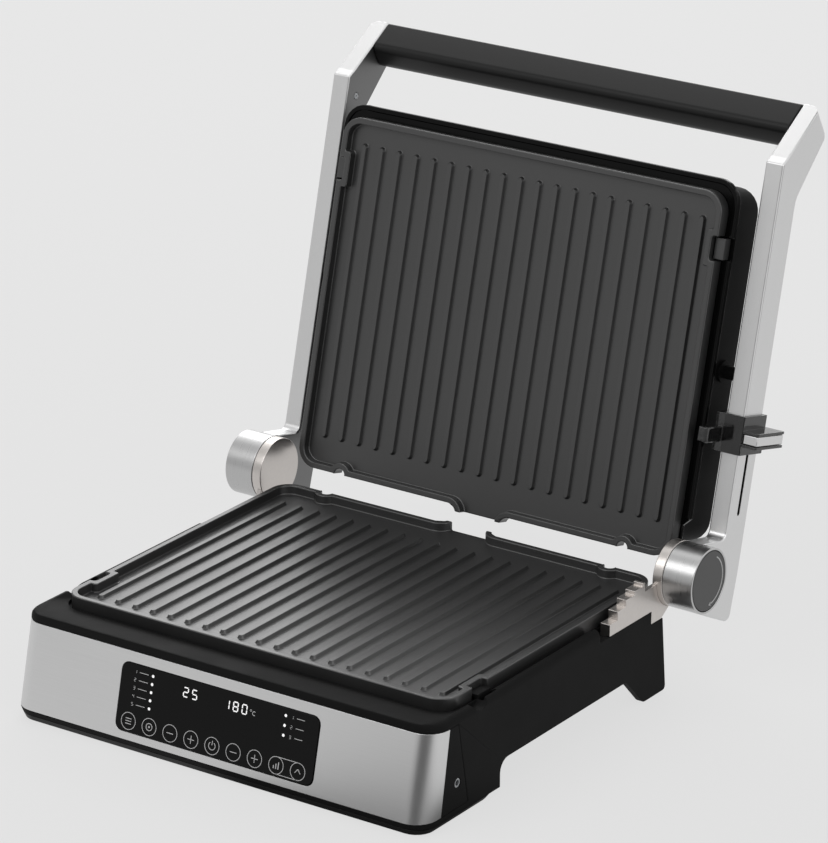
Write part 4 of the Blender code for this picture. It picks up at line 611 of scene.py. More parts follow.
def dress_socket_screw(side):
    """Screw head with a wide round socket, on the outer face of an end cap."""
    node = f"fascia_screw_{side}"
    low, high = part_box(node)
    outwards = 1 if side == "right" else -1
    radius = (high.z - low.z) / 2
    bpy.ops.object.select_all(action="DESELECT")
    bpy.ops.mesh.primitive_cylinder_add(vertices=24, radius=radius, depth=high.x - low.x,
                                        end_fill_type="NGON", rotation=(0, math.pi / 2, 0))
    piece = bpy.context.object
    piece.name = f"socket_screw_{side}"
    bpy.ops.object.transform_apply(location=True, rotation=True, scale=True)
    piece.data.transform(Matrix.Translation((low + high) / 2))
    pick_faces(piece, lambda centre, normal: normal.x * outwards > FACING)
    bpy.ops.mesh.inset(thickness=radius * SOCKET_RIM, depth=0)
    bpy.ops.mesh.extrude_region_move(TRANSFORM_OT_translate={"value": (-outwards * SOCKET_DEPTH * MM, 0, 0)})
    bpy.ops.object.mode_set(mode="OBJECT")
    rounded_edges(piece, FINE_EDGE, 2)
    wear(piece, PLATED, MOULDED)
    # Painted shade: the middle of the socket gets black moulded ABS.
    for face in piece.data.polygons:
        across = math.hypot(face.center.y - (low.y + high.y) / 2, face.center.z - (low.z + high.z) / 2)
        face.material_index = 1 if across < radius * SOCKET_SHADE_REACH else 0
    smooth(piece)
    hand_over(piece, node)


def dress_base():
    """Base: housing, bottom, steel skin, glass, tray, cord bush, end caps, feet and brackets."""
    dress("base_housing", "base_shell", CRISP_EDGE, MOULDED)
    dress("bottom_cover", "base_bottom", CRISP_EDGE, SATIN_BLACK)
    dress("front_steel_panel", "front_skin", SHEET_EDGE, BRUSHED, 2)
    dress("control_glass", "touch_glass", SOFT_EDGE, GLASS)
    dress("drip_tray", "fat_tray", PAD_EDGE, POLISHED)
    dress("cord_gland", "cord_bush", SOFT_EDGE, RUBBER)
    for side in ("left", "right"):
        dress(f"fascia_cap_{side}", f"end_cap_{side}", SHEET_EDGE, MOULDED, 2)
        dress_socket_screw(side)
        dress(f"foot_front_{side}", f"front_pad_{side}", PAD_EDGE, RUBBER)
        dress(f"foot_rear_{side}", f"rear_pad_{side}", PAD_EDGE, RUBBER)
    dress_brackets()


def plate_block(half, front, back, low, high, corner=0.0):
    """Block of the plate with rounded upright edges; lengths from the middle of the ribs."""
    bpy.ops.object.select_all(action="DESELECT")
    bpy.ops.mesh.primitive_cube_add(size=1)
    piece = bpy.context.object
    bpy.ops.object.mode_set(mode="EDIT")
    bpy.ops.mesh.select_all(action="SELECT")
    bpy.ops.transform.resize(value=(2 * half * MM, (back - front) * MM, (high - low) * MM))
    if corner:
        bpy.ops.mesh.select_mode(type="EDGE")
        bpy.ops.mesh.select_all(action="DESELECT")
        bpy.ops.object.mode_set(mode="OBJECT")
        for edge in piece.data.edges:
            first, second = (piece.data.vertices[index].co for index in edge.vertices)
            edge.select = abs(first.z - second.z) > MM
        bpy.ops.object.mode_set(mode="EDIT")
        bpy.ops.mesh.bevel(offset=corner * MM, segments=8, affect="EDGES")
        bpy.ops.mesh.select_all(action="SELECT")
    bpy.ops.transform.translate(value=(middle_x, rib_middle_y + (front + back) / 2 * MM,
                                       plate_high.z + ((low + high) / 2 - PLATE_RIM) * MM))
    bpy.ops.object.mode_set(mode="OBJECT")
    return piece


def plate_post(x, y, radius, low, high):
    """Round post standing in the plate's frame."""
    bpy.ops.object.select_all(action="DESELECT")
    bpy.ops.mesh.primitive_cylinder_add(vertices=64, radius=radius * MM, depth=(high - low) * MM,
                                        end_fill_type="NGON")
    piece = bpy.context.object
    bpy.ops.object.mode_set(mode="EDIT")
    bpy.ops.mesh.select_all(action="SELECT")
    bpy.ops.transform.translate(value=(middle_x + x * MM, rib_middle_y + y * MM,
                                       plate_high.z + ((low + high) / 2 - PLATE_RIM) * MM))
    bpy.ops.object.mode_set(mode="OBJECT")
    return piece


def carve(piece, operation, *tools):
    """Join pieces to a piece or cut them away, one after another."""
    for tool in tools:
        apply_modifier(piece, "BOOLEAN", operation=operation, solver="EXACT", object=tool)
        bpy.data.objects.remove(tool)


def plate_notches(grow, low, high):
    """Tools for the latch notches, peg notches and spout cheeks, grown by a wall."""
    cheek_y = PLATE_BACK + SPOUT_CHEEK
    tools = []
    for side in (-1, 1):
        notch = plate_block(LATCH_NOTCH_DEPTH + grow, LATCH_NOTCH_Y - LATCH_NOTCH_HALF - grow,
                            LATCH_NOTCH_Y + LATCH_NOTCH_HALF + grow, low, high, LATCH_NOTCH_CORNER)
        notch.data.transform(Matrix.Translation((side * PLATE_HALF * MM, 0, 0)))
        tools += [notch, plate_post(side * PEG_X, PLATE_BACK, PEG_NOTCH + grow, low, high),
                  plate_post(side * (SPOUT_HALF + SPOUT_CHEEK), cheek_y, SPOUT_CHEEK + grow, low, high)]
    return tools


def bare_plate():
    """Plate casting without its ribs: a tray with skirt, notches and a spout, its edges rounded."""
    floor, top = -RIB_HEIGHT, PLATE_RIM
    bottom = floor - PLATE_SKIRT
    front = -PLATE_FRONT_TO_MIDDLE
    mouth = SPOUT_HALF + SPOUT_CHEEK
    tip = PLATE_BACK + SPOUT_REACH
    piece = plate_block(PLATE_HALF, front, PLATE_BACK, bottom, top, PLATE_CORNER)
    carve(piece, "UNION", plate_block(mouth, PLATE_BACK - PLATE_WALL, tip, floor - PLATE_FLOOR, top))
    carve(piece, "DIFFERENCE", *plate_notches(0, bottom - PAST, top + PAST))
    pocket = plate_block(PLATE_HALF - PLATE_WALL, front + PLATE_WALL, PLATE_BACK - PLATE_WALL, floor,
                         top + PAST, PLATE_CORNER - PLATE_WALL)
    carve(pocket, "UNION", plate_block(mouth, PLATE_BACK - PLATE_WALL * 2, tip + PAST, floor, top + PAST))
    carve(pocket, "DIFFERENCE", *plate_notches(PLATE_WALL, floor - PAST, top + PAST * 2))
    under = plate_block(PLATE_HALF - PLATE_WALL * 2, front + PLATE_WALL * 2, PLATE_BACK - PLATE_WALL * 3,
                        bottom - PAST, floor - PLATE_FLOOR, PLATE_WALL)
    carve(piece, "DIFFERENCE", pocket, under)
    piece.name = "lower_plate_casting"
    rounded_edges(piece, CAST_EDGE)
    return piece


def grill_rib():
    """One rib: a pad with round ends, pulled up and drawn in level by level to its narrow crest."""
    bpy.ops.object.select_all(action="DESELECT")
    floor = plate_high.z - (PLATE_RIM + RIB_HEIGHT) * MM
    first_x = middle_x - (RIB_COUNT - 1) / 2 * RIB_PITCH * MM
    bpy.ops.mesh.primitive_plane_add(size=1, location=(0, 0, 0))
    piece = bpy.context.object
    bpy.ops.object.mode_set(mode="EDIT")
    bpy.ops.mesh.select_all(action="SELECT")
    bpy.ops.transform.resize(value=(RIB_FOOT * MM, RIB_LENGTH * MM, 1))
    bpy.ops.mesh.bevel(offset=(RIB_FOOT / 2 - RIB_END_FLAT) * MM, segments=5, affect="VERTICES")
    bpy.ops.transform.translate(value=(first_x, rib_middle_y, floor - RIB_SUNK * MM))
    bpy.ops.mesh.extrude_region_move(TRANSFORM_OT_translate={"value": (0, 0, RIB_SUNK * MM)})
    wide, long, high = RIB_FOOT, RIB_LENGTH, 0
    for height, inwards in RIB_LEVELS:
        narrow, short = RIB_FOOT - 2 * inwards, RIB_LENGTH - 2 * inwards
        bpy.ops.mesh.extrude_region_move(TRANSFORM_OT_translate={"value": (0, 0, (height - high) * MM)})
        bpy.ops.transform.resize(value=(narrow / wide, short / long, 1),
                                 center_override=(first_x, rib_middle_y, floor))
        wide, long, high = narrow, short, height
    bpy.ops.mesh.select_all(action="SELECT")
    bpy.ops.mesh.normals_make_consistent(inside=False)
    bpy.ops.object.mode_set(mode="OBJECT")
    return piece


def dress_plates():
    """Model the plate once with its ribs, copy it into the lid and dress the catches."""
    plate = bare_plate()
    first = grill_rib()
    ribs = [first] + [duplicate(first, f"rib_{index}", Matrix.Translation((index * RIB_PITCH * MM, 0, 0)))
                      for index in range(1, RIB_COUNT)]
    bpy.ops.object.select_all(action="DESELECT")
    for rib in ribs:
        rib.select_set(True)
    bpy.context.view_layer.objects.active = first
    bpy.ops.object.join()
    carve(plate, "UNION", first)
    plate_frame = Matrix.Translation((middle_x, rib_middle_y, plate_high.z - PLATE_RIM * MM))
    turn = Matrix(((-1, 0, 0), (0, 0, -1), (0, -1, 0))).to_4x4()
    lid_frame = (Matrix.Translation((middle_x, hinge.y, hinge.z)) @ Matrix.Rotation(-LID_LEAN, 4, "X")
                 @ Matrix.Translation((0, LID_PLATE_SETBACK * MM, LID_PLATE_MIDDLE * MM)) @ turn)
    other = duplicate(plate, "upper_plate_casting", lid_frame @ plate_frame.inverted())
    for level, piece in (("lower", plate), ("upper", other)):
        wear(piece, NONSTICK)
        smooth(piece)
        hand_over(piece, f"{level}_grill_plate")
        for side in ("left", "right"):
            dress(f"{level}_latch_{side}", f"{level}_plate_catch_{side}", SOFT_EDGE,
                  NONSTICK if level == "upper" else MOULDED)


def hub_rod(side, inner, outer, radius):
    """Round bar on the hinge line, between two distances from the middle of the grill."""
    bpy.ops.object.select_all(action="DESELECT")
    bpy.ops.mesh.primitive_cylinder_add(vertices=96, radius=radius * MM, depth=(outer - inner) * MM,
                                        end_fill_type="NGON", rotation=(0, math.pi / 2, 0))
    piece = bpy.context.object
    bpy.ops.object.transform_apply(location=True, rotation=True, scale=True)
    piece.data.transform(Matrix.Translation((middle_x + side * (inner + outer) / 2 * MM, hinge.y, hinge.z)))
    return piece


def cut_hub(node, name, side, inner):
    """Copy of a CAD node without its round hub, which is turned as a piece of its own."""
    piece = copy_of(node, name)
    carve(piece, "DIFFERENCE", hub_rod(side, inner, HUB_OUTER + PAST, HUB_RADIUS + HUB_CLEAR))
    make_quads(piece)
    return piece


def hub_drum(side, name):
    """Turned drum with a thin rim round the seat of its disc, bored for the axle and the button's spring."""
    piece = hub_rod(side, ARM_INNER, HUB_OUTER, HUB_RADIUS)
    pick_faces(piece, lambda centre, normal: normal.x * side > FACING)
    bpy.ops.mesh.inset(thickness=HUB_RIM * MM, depth=0)
    bpy.ops.mesh.extrude_region_move(TRANSFORM_OT_translate={"value": (-side * HUB_RECESS * MM, 0, 0)})
    bpy.ops.object.mode_set(mode="OBJECT")
    rounded_edges(piece, DRUM_EDGE, 3)
    carve(piece, "DIFFERENCE", hub_rod(side, ARM_INNER - PAST, SPRING_SEAT + PAST, AXLE_BORE),
          hub_rod(side, SPRING_SEAT, HUB_OUTER, SPRING_BORE))
    piece.name = name
    return piece


def dress_brackets():
    """Stair bracket on the right and plain bracket on the left, each with a turned eye."""
    for side, node, name in ((1, "stair_bracket_right", "stair_casting"),
                             (-1, "hinge_bracket_left", "hinge_casting")):
        piece = cut_hub(node, name, side, EYE_INNER if side > 0 else EYE_INNER - WEB_INWARD)
        rounded_edges(piece, CRISP_EDGE, 2)
        eye = hub_rod(side, EYE_INNER, EYE_OUTER, HUB_RADIUS)
        rounded_edges(eye, BROAD_EDGE, 3)
        eye.name = f"{name}_eye"
        for part in (piece, eye):
            wear(part, ZINC)
            smooth(part)
            hand_over(part, node)


def round_tip(bar, side):
    """Round the outer corner of the arm's end with a cutter that stands square to the slanted grip."""
    slant = Matrix.Rotation(GRIP_SLANT, 4, "X")
    along = slant.to_3x3() @ Vector((0, 1, 0))
    reach = max(along.dot(vertex.co) for vertex in bar.data.vertices)
    ends = [vertex.co for vertex in bar.data.vertices if along.dot(vertex.co) > reach - MM]
    place = Matrix.Translation(max(ends, key=lambda end: side * end.x)) @ slant
    bpy.ops.object.select_all(action="DESELECT")
    bpy.ops.mesh.primitive_cube_add(size=1)
    cutter = bpy.context.object
    wide, shift = (TIP_ROUND + PAST) * MM, (PAST - TIP_ROUND) / 2 * MM
    shape = Matrix.Diagonal((wide, wide, TIP_DEEP * MM, 1))
    cutter.data.transform(Matrix.Translation((side * shift, shift, 0)) @ shape)
    bpy.ops.object.select_all(action="DESELECT")
    bpy.ops.mesh.primitive_cylinder_add(vertices=32, radius=TIP_ROUND * MM, depth=TIP_DEEP * 2 * MM,
                                        end_fill_type="NGON")
    post = bpy.context.object
    post.data.transform(Matrix.Translation((-side * TIP_ROUND * MM, -TIP_ROUND * MM, 0)))
    carve(cutter, "DIFFERENCE", post)
    cutter.data.transform(place)
    carve(bar, "DIFFERENCE", cutter)


def dress_arms():
    """Arms with their drums; the inside of the right arm's slot is painted black as shade, and the inward
    faces darker as a painted reflection.
    """
    upright = Matrix.Rotation(LID_LEAN, 3, "X")
    for side, hand in ((-1, "left"), (1, "right")):
        bar = cut_hub(f"arm_{hand}", f"lid_arm_{hand}", side, ARM_INNER - PAST)
        round_tip(bar, side)
        rounded_edges(bar, SLEEVE_EDGE, 2)
        # The rounding lifts one corner by 0.015 mm; it is kept within the height of the CAD
        highest = cad_box[1][2]
        for vertex in bar.data.vertices:
            vertex.co.z = min(vertex.co.z, highest)
        drum = hub_drum(side, f"hub_drum_{hand}")
        wear(bar, SATIN, SATIN_PAINTED_REFLECTION, MOULDED)
        wear(drum, TURNED)
        # Painted reflection: faces turned inwards get the darker satin, which stands for the black lid they
        # reflect.
        for face in bar.data.polygons:
            place = upright @ (face.center - hinge)
            sunk = side * (face.center.x - middle_x) < (ARM_OUTER - SLOT_EDGE) * MM
            across = abs(place.y - SLOT_Y * MM) < SLOT_REACH * MM
            in_slot = across and SLOT_LOW * MM < place.z < SLOT_HIGH * MM
            # Painted shade: the inside of the right arm's slot gets black moulded ABS.
            if side > 0 and sunk and in_slot and face.normal.x > -FACING:
                face.material_index = 2
            else:
                face.material_index = 1 if face.normal.x * side < -FACING else 0
        for part in (bar, drum):
            smooth(part)
            hand_over(part, f"arm_{hand}")


def dress_lid():
    """Lid: arms, pivots, discs, handle, slider, frame and shell, whose back stands a little deeper."""
    dress_arms()
    for side in ("left", "right"):
        dress(f"arm_screw_{side}", f"arm_fixing_{side}", FINE_EDGE, PLATED, 2)
        dress(f"float_pin_{side}", f"float_pivot_{side}", CRISP_EDGE, MOULDED)
    dress("hub_cap_left", "hub_disc_left", CRISP_EDGE, DISC)
    dress("release_button", "release_disc", CRISP_EDGE, DISC)
    dress("handle_bar", "handle_grip", CAST_EDGE, SATIN_BLACK)
    dress("height_slider", "slider_sleeve", SLEEVE_EDGE, SMOKE, 2)
    dress("slider_grip", "slider_block", CRISP_EDGE, SATIN, 2)
    dress("upper_frame", "lid_frame", BROAD_EDGE, POLISHED)
    shell = dress("upper_cover", "lid_shell", BROAD_EDGE, MOULDED)
    back = Vector((0, math.cos(LID_LEAN), -math.sin(LID_LEAN)))
    deepest = max((vertex.co - hinge).dot(back) for vertex in shell.data.vertices)
    for vertex in shell.data.vertices:
        if (vertex.co - hinge).dot(back) > deepest - SHELL_BACK * MM:
            vertex.co += back * SHELL_DEEPER * MM


def finish_inner_parts():
    """Parts that stay as they are and get their finish."""
    finishes = {"display_board": BOARD, "power_board": BOARD, "lower_heating_element": HEATER,
                "upper_heating_element": HEATER, "lower_reflector": SHEET, "upper_reflector": SHEET,
                "lower_thermostat": PLATED, "upper_thermostat": PLATED, "hinge_axle_left": PLATED,
                "hinge_axle_right": PLATED, "handle_rod": PLATED, "button_spring": PLATED}
    for node, finish in finishes.items():
        wear(frame["nodes"][node], finish)


dress_base()
dress_plates()
dress_lid()
finish_inner_parts()


# Touch panel: printed rings and signs, lit digits and lamps

# Lengths in millimetres on the panel: across from its middle, and down from the top of the steel
PANEL_MIDDLE_DOWN = 29.8
SIGN_ROW = 44.8
SIGN_FIRST = -66.7
SIGN_PITCH = 16.45
PILL_ENDS = (48.5, 65.0)
RING_RADIUS = 5.5
RING_LINE = 0.42
SIGN_LINE = 0.5
SIGN_LONG = 5.2
LIST_NUMBER = 2.0
LAMP_RADIUS = 0.95
LIST_LINE = 0.4
LEFT_LIST = {"top": 12.3, "pitch": 5.275, "count": 5,
             "number": -66.0, "line": -59.0, "long": 7.0, "lamp": -52.0}
RIGHT_LIST = {"top": 12.4, "pitch": 6.3, "count": 3,
              "number": 55.5, "line": 62.5, "long": 6.0, "lamp": 51.0}
DIGIT_HEIGHT = 5.8
MINUTES_AT = (-27.3, 19.1)
HEAT_AT = (4.6, 19.0)

# Digits as shares of their height: width, stroke and step to the next; the gap as a share of the stroke
DIGIT_WIDE = 0.6
DIGIT_STROKE = 0.13
DIGIT_STEP = 1.17
DIGIT_GAP = 0.8

# Arc arrow on the release disc, and the ink
ARROW_RADIUS = 16.6
ARROW_WIDTH = 0.8
ARROW_HEAD = 1.7
ARROW_FROM = math.radians(-84.6)
ARROW_TO = math.radians(59)
INK_THICK = 0.06

# Strokes of the digits that are shown, from the top one clockwise a to f, with g in the middle
SEGMENTS = {"0": "abcdef", "1": "bc", "2": "abged", "3": "abgcd", "4": "fgbc", "5": "afgcd", "8": "abcdefg"}


def gather(parts, name):
    """Join several parts into one piece."""
    bpy.ops.object.select_all(action="DESELECT")
    for part in parts:
        part.select_set(True)
    bpy.context.view_layer.objects.active = parts[0]
    bpy.ops.object.join()
    piece = bpy.context.object
    piece.name = name
    piece.data.transform(piece.matrix_basis)
    piece.matrix_basis = Matrix.Identity(4)
    return piece


def bar(x, y, length, width, turn=0.0):
    """Flat stroke with square ends."""
    bpy.ops.mesh.primitive_circle_add(vertices=4, radius=1, fill_type="NGON", location=(x * MM, y * MM, 0),
                                      rotation=(0, 0, turn))
    stroke = bpy.context.object
    bpy.ops.object.mode_set(mode="EDIT")
    bpy.ops.transform.rotate(value=math.radians(45), orient_axis="Z", center_override=(x * MM, y * MM, 0))
    bpy.ops.object.mode_set(mode="OBJECT")
    for vertex in stroke.data.vertices:
        vertex.co.x = math.copysign(length * MM / 2, vertex.co.x)
        vertex.co.y = math.copysign(width * MM / 2, vertex.co.y)
    return thicken(stroke)


def thicken(flat):
    """Pull a flat shape out of the glass by the thickness of the ink."""
    only(flat)
    bpy.ops.object.transform_apply(location=True, rotation=True, scale=True)
    apply_modifier(flat, "SOLIDIFY", thickness=INK_THICK * MM, offset=1.0)
    return flat


def disc(x, y, radius):
    """Filled circle: a lamp or a dot."""
    bpy.ops.mesh.primitive_circle_add(vertices=20, radius=radius * MM, fill_type="NGON",
                                      location=(x * MM, y * MM, 0))
    return thicken(bpy.context.object)


def ring(x, y, radius, width, start=0.0, end=math.tau, steps=48):
    """Printed ring, or the part of it between two angles."""
    bpy.ops.object.select_all(action="DESELECT")
    bpy.ops.mesh.primitive_circle_add(vertices=steps, radius=(radius - width / 2) * MM, fill_type="NOTHING",
                                      rotation=(0, 0, start))
    band = bpy.context.object
    bpy.ops.object.transform_apply(location=True, rotation=True, scale=True)
    bpy.ops.object.mode_set(mode="EDIT")
    bpy.ops.mesh.select_all(action="SELECT")
    bpy.ops.mesh.extrude_edges_move(TRANSFORM_OT_translate={"value": (0, 0, 0)})
    wider = (radius + width / 2) / (radius - width / 2)
    bpy.ops.transform.resize(value=(wider, wider, 1), center_override=(0, 0, 0))
    bpy.ops.object.mode_set(mode="OBJECT")
    if end - start < math.tau:
        pick_faces(band, lambda centre, normal:
                   (math.atan2(centre.y, centre.x) - start) % math.tau > end - start)
        bpy.ops.mesh.delete(type="FACE")
        bpy.ops.object.mode_set(mode="OBJECT")
    pick_faces(band, lambda centre, normal: normal.z < 0)
    bpy.ops.mesh.flip_normals()
    bpy.ops.mesh.select_all(action="SELECT")
    bpy.ops.transform.translate(value=(x * MM, y * MM, 0))
    bpy.ops.object.mode_set(mode="OBJECT")
    return thicken(band)


def digit(x, y, height, sign):
    """Seven-segment digit, lower left corner at x, y."""
    half = height / 2
    wide = height * DIGIT_WIDE
    stroke = height * DIGIT_STROKE
    gap = stroke * DIGIT_GAP
    places = {"a": (wide / 2, height, 0), "g": (wide / 2, half, 0), "d": (wide / 2, 0, 0),
              "f": (0, half * 1.5, 1), "b": (wide, half * 1.5, 1), "e": (0, half / 2, 1),
              "c": (wide, half / 2, 1)}
    strokes = []
    for name in SEGMENTS[sign]:
        across, up, upright = places[name]
        length = (half if upright else wide) - gap
        strokes.append(bar(x + across, y + up, length, stroke, math.pi / 2 if upright else 0))
    return strokes


def number(x, y, height, signs):
    """Row of digits."""
    strokes = []
    for index, sign in enumerate(signs):
        strokes += digit(x + index * height * DIGIT_STEP, y, height, sign)
    return strokes


def down(distance):
    """Height on the panel from a distance below the top of the steel."""
    return PANEL_MIDDLE_DOWN - distance


def panel_signs():
    """Rings, signs, small numbers and lines printed on the glass."""
    row = down(SIGN_ROW)
    places = [SIGN_FIRST + SIGN_PITCH * index for index in range(7)] + list(PILL_ENDS)
    left, right = PILL_ENDS
    parts = [ring(x, row, RING_RADIUS, RING_LINE) for x in places]
    parts += [bar((left + right) / 2, row + side * RING_RADIUS, right - left, RING_LINE) for side in (-1, 1)]
    # Three lines, a dot in a ring, minus, plus and the on-off sign
    for line in (-1, 0, 1):
        parts.append(bar(places[0], row + line * 1.7, 4.6, SIGN_LINE))
    parts.append(ring(places[1], row, 2.3, SIGN_LINE, steps=24))
    parts.append(disc(places[1], row, 0.7))
    for index in (2, 3, 5, 6):
        parts.append(bar(places[index], row, SIGN_LONG, SIGN_LINE))
        if index in (3, 6):
            parts.append(bar(places[index], row, SIGN_LONG, SIGN_LINE, math.pi / 2))
    parts.append(ring(places[4], row, 2.5, SIGN_LINE, math.radians(125), math.radians(415), 32))
    parts.append(bar(places[4], row + 1.9, 2.8, SIGN_LINE, math.pi / 2))
    # Rising bars and a roof in the two ends of the pill
    for index in range(3):
        tall = 2.0 + index * 1.3
        parts.append(bar(left - 1.8 + index * 1.8, row - 2.3 + tall / 2, tall, 0.7, math.pi / 2))
    for side in (-1, 1):
        parts.append(bar(right + side * 1.05, row + 0.2, 3.4, SIGN_LINE, side * math.radians(-52)))
    # Numbered lists beside the lamps
    for listed in (LEFT_LIST, RIGHT_LIST):
        for index in range(listed["count"]):
            level = down(listed["top"] + index * listed["pitch"])
            parts += number(listed["number"], level - LIST_NUMBER / 2, LIST_NUMBER, str(index + 1))
            parts.append(bar(listed["line"], level, listed["long"], LIST_LINE))
    # Unit sign after the temperature
    parts.append(ring(24.8, down(15.6), 0.55, 0.3, steps=16))
    parts.append(ring(27.5, down(17.0), 1.25, RING_LINE, math.radians(50), math.radians(310), 24))
    return parts


def panel_lamps():
    """Round lamps in two columns."""
    return [disc(listed["lamp"], down(listed["top"] + index * listed["pitch"]), LAMP_RADIUS)
            for listed in (LEFT_LIST, RIGHT_LIST) for index in range(listed["count"])]


def panel_digits():
    """Minutes and temperature in lit digits."""
    return [stroke for (x, low), signs in ((MINUTES_AT, "25"), (HEAT_AT, "180"))
            for stroke in number(x, down(low), DIGIT_HEIGHT, signs)]


def fit_panel():
    """Lay signs, lamps and digits on the glass."""
    face = panel_matrix()
    groups = (("panel_signs", panel_signs(), INK), ("panel_lamps", panel_lamps(), LIT),
              ("panel_digits", panel_digits(), LIT))
    for name, parts, finish in groups:
        piece = gather(parts, name)
        piece.data.transform(face)
        wear(piece, finish)
        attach(piece, "base")


def turn_arrow():
    """Printed arc arrow on the release disc; it moves with the button."""
    low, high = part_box("release_button")
    start, end = ARROW_FROM, ARROW_TO
    tip = Vector((math.cos(start), math.sin(start))) * ARROW_RADIUS
    bpy.ops.object.select_all(action="DESELECT")
    bpy.ops.mesh.primitive_circle_add(vertices=3, radius=ARROW_HEAD * MM, fill_type="NGON",
                                      location=(tip.x * MM, tip.y * MM, 0), rotation=(0, 0, start + math.pi))
    head = thicken(bpy.context.object)
    piece = gather([ring(0, 0, ARROW_RADIUS, ARROW_WIDTH, start, end, 96), head], "turn_arrow")
    face = Matrix(((0, 0, 1), (1, 0, 0), (0, 1, 0))).to_4x4()
    piece.data.transform(Matrix.Translation((high.x, hinge.y, hinge.z)) @ face)
    wear(piece, INK)
    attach(piece, frame["nodes"]["release_button"]["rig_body"])


fit_panel()
turn_arrow()


# Camera, floor and lights

def set_camera():
    """Camera at the place that was fitted to the view of the real grill."""
    azimuth, elevation = CAMERA_AZIMUTH, CAMERA_ELEVATION
    back = Vector((math.sin(azimuth) * math.cos(elevation), -math.cos(azimuth) * math.cos(elevation),
                   math.sin(elevation)))
    right = (-back).cross(Vector((0, 0, 1))).normalized()
    up = right.cross(-back)
    across = right * math.cos(CAMERA_ROLL) + up * math.sin(CAMERA_ROLL)
    above = up * math.cos(CAMERA_ROLL) - right * math.sin(CAMERA_ROLL)
    lens = bpy.data.cameras.new("view")
    lens.lens = CAMERA_LENS
    lens.sensor_width = CAMERA_SENSOR
    lens.clip_end = CAMERA_FAR
    camera = bpy.data.objects.new("view", lens)
    turn = Matrix((across, above, back)).transposed().to_4x4()
    camera.matrix_world = Matrix.Translation(CAMERA_TARGET + back * CAMERA_DISTANCE) @ turn
    bpy.context.scene.collection.objects.link(camera)
    bpy.context.scene.camera = camera


def dark_side(tree, heading):
    """Strength of the studio's reflections by heading: it drops towards the dark side."""
    away = add(tree, "ShaderNodeVectorMath", {0: heading, 1: DARK_SIDE}, operation="DOT_PRODUCT")
    return add(tree, "ShaderNodeMapRange",
               {"Value": away.outputs["Value"], "From Min": DARK_FROM, "From Max": DARK_FULL, "To Min": 1.0,
                "To Max": AIR_DARK}, interpolation_type="SMOOTHSTEP").outputs["Result"]


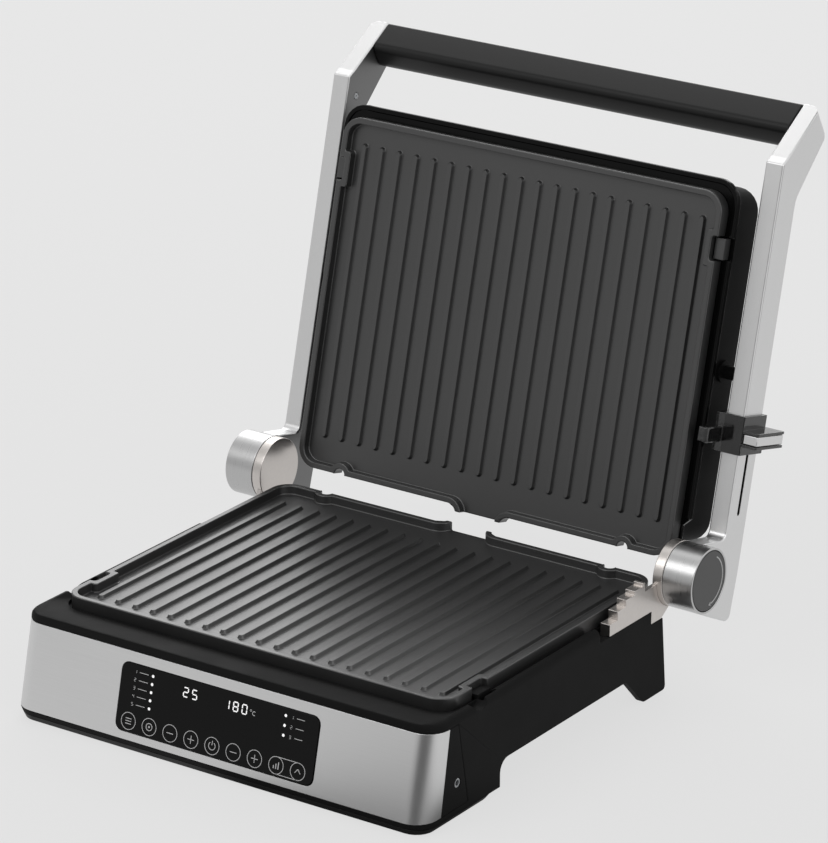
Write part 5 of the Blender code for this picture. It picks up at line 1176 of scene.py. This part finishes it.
def lay_floor():
    """Pale floor that keeps a soft shadow and otherwise shows the background's own colour."""
    bpy.ops.mesh.primitive_plane_add(size=FLOOR_SIZE)
    floor = bpy.context.object
    floor.name = "studio_floor"
    made = bpy.data.materials.new("pale studio floor")
    made.use_nodes = True
    tree = made.node_tree
    tree.nodes.clear()
    matt = add(tree, "ShaderNodeBsdfDiffuse", {"Color": linear(BACKDROP)})
    glow = add(tree, "ShaderNodeEmission", {"Color": linear(BACKDROP), "Strength": 1.0})
    path = add(tree, "ShaderNodeLightPath")
    seen = add(tree, "ShaderNodeMath", {0: path.outputs["Is Camera Ray"], 1: path.outputs["Is Glossy Ray"]},
               operation="MAXIMUM")
    both = add(tree, "ShaderNodeMath", {0: seen.outputs["Value"], 1: path.outputs["Is Transmission Ray"]},
               operation="MAXIMUM")
    share = add(tree, "ShaderNodeMath", {0: both.outputs["Value"], 1: FLOOR_GLOW}, operation="MULTIPLY")
    level = add(tree, "ShaderNodeVectorMath", {0: add(tree, "ShaderNodeNewGeometry").outputs["Position"],
                                               1: (1, 1, 0)}, operation="MULTIPLY")
    heading = add(tree, "ShaderNodeVectorMath", {0: level.outputs["Vector"]}, operation="NORMALIZE")
    shade = dark_side(tree, heading.outputs["Vector"])
    mirrored = add(tree, "ShaderNodeMix", {"Factor": path.outputs["Is Glossy Ray"], "B": shade})
    mirrored.inputs["A"].default_value = 1.0
    tree.links.new(mirrored.outputs["Result"], glow.inputs["Strength"])
    blend = add(tree, "ShaderNodeMixShader", {0: share.outputs["Value"], 1: matt.outputs["BSDF"],
                                              2: glow.outputs["Emission"]})
    add(tree, "ShaderNodeOutputMaterial", {"Surface": blend.outputs["Shader"]})
    wear(floor, made)


def set_world():
    """Studio air, seen by the camera as the pale background: softly brighter towards the upper right."""
    world = bpy.data.worlds.new("studio")
    world.use_nodes = True
    bpy.context.scene.world = world
    tree = world.node_tree
    air = tree.nodes["Background"]
    air.inputs["Color"].default_value = linear(BACKDROP)
    heading = add(tree, "ShaderNodeTexCoord").outputs["Generated"]
    towards = add(tree, "ShaderNodeVectorMath", {0: heading, 1: BRIGHT_SIDE}, operation="DOT_PRODUCT")
    level = add(tree, "ShaderNodeMapRange",
                {"Value": towards.outputs["Value"], "From Min": -1.0, "From Max": 1.0, "To Min": AIR_LOW,
                 "To Max": AIR_HIGH}).outputs["Result"]
    level = add(tree, "ShaderNodeMath", {0: level, 1: dark_side(tree, heading)},
                operation="MULTIPLY").outputs["Value"]
    path = add(tree, "ShaderNodeLightPath")
    shone = add(tree, "ShaderNodeMix", {"Factor": path.outputs["Is Diffuse Ray"], "A": level})
    shone.inputs["B"].default_value = AIR_DIFFUSE
    seen = add(tree, "ShaderNodeMix", {"Factor": path.outputs["Is Camera Ray"], "A": shone.outputs["Result"]})
    seen.inputs["B"].default_value = 1.0
    tree.links.new(seen.outputs["Result"], air.inputs["Strength"])


def hang_light(name, place, target, size, watts):
    """Rectangular soft box aimed at a point."""
    lamp = bpy.data.lights.new(name, "AREA")
    lamp.shape = "RECTANGLE"
    lamp.size, lamp.size_y = size
    lamp.energy = watts
    fixture = bpy.data.objects.new(name, lamp)
    fixture.location = place
    heading = Vector(target) - Vector(place)
    fixture.rotation_euler = heading.to_track_quat("-Z", "Y").to_euler()
    bpy.context.scene.collection.objects.link(fixture)


set_camera()
lay_floor()
set_world()
for name, place, target, size, watts in SOFT_BOXES:
    hang_light(f"soft box {name}", place, target, size, watts)

bpy.context.scene.view_settings.view_transform = "Standard"
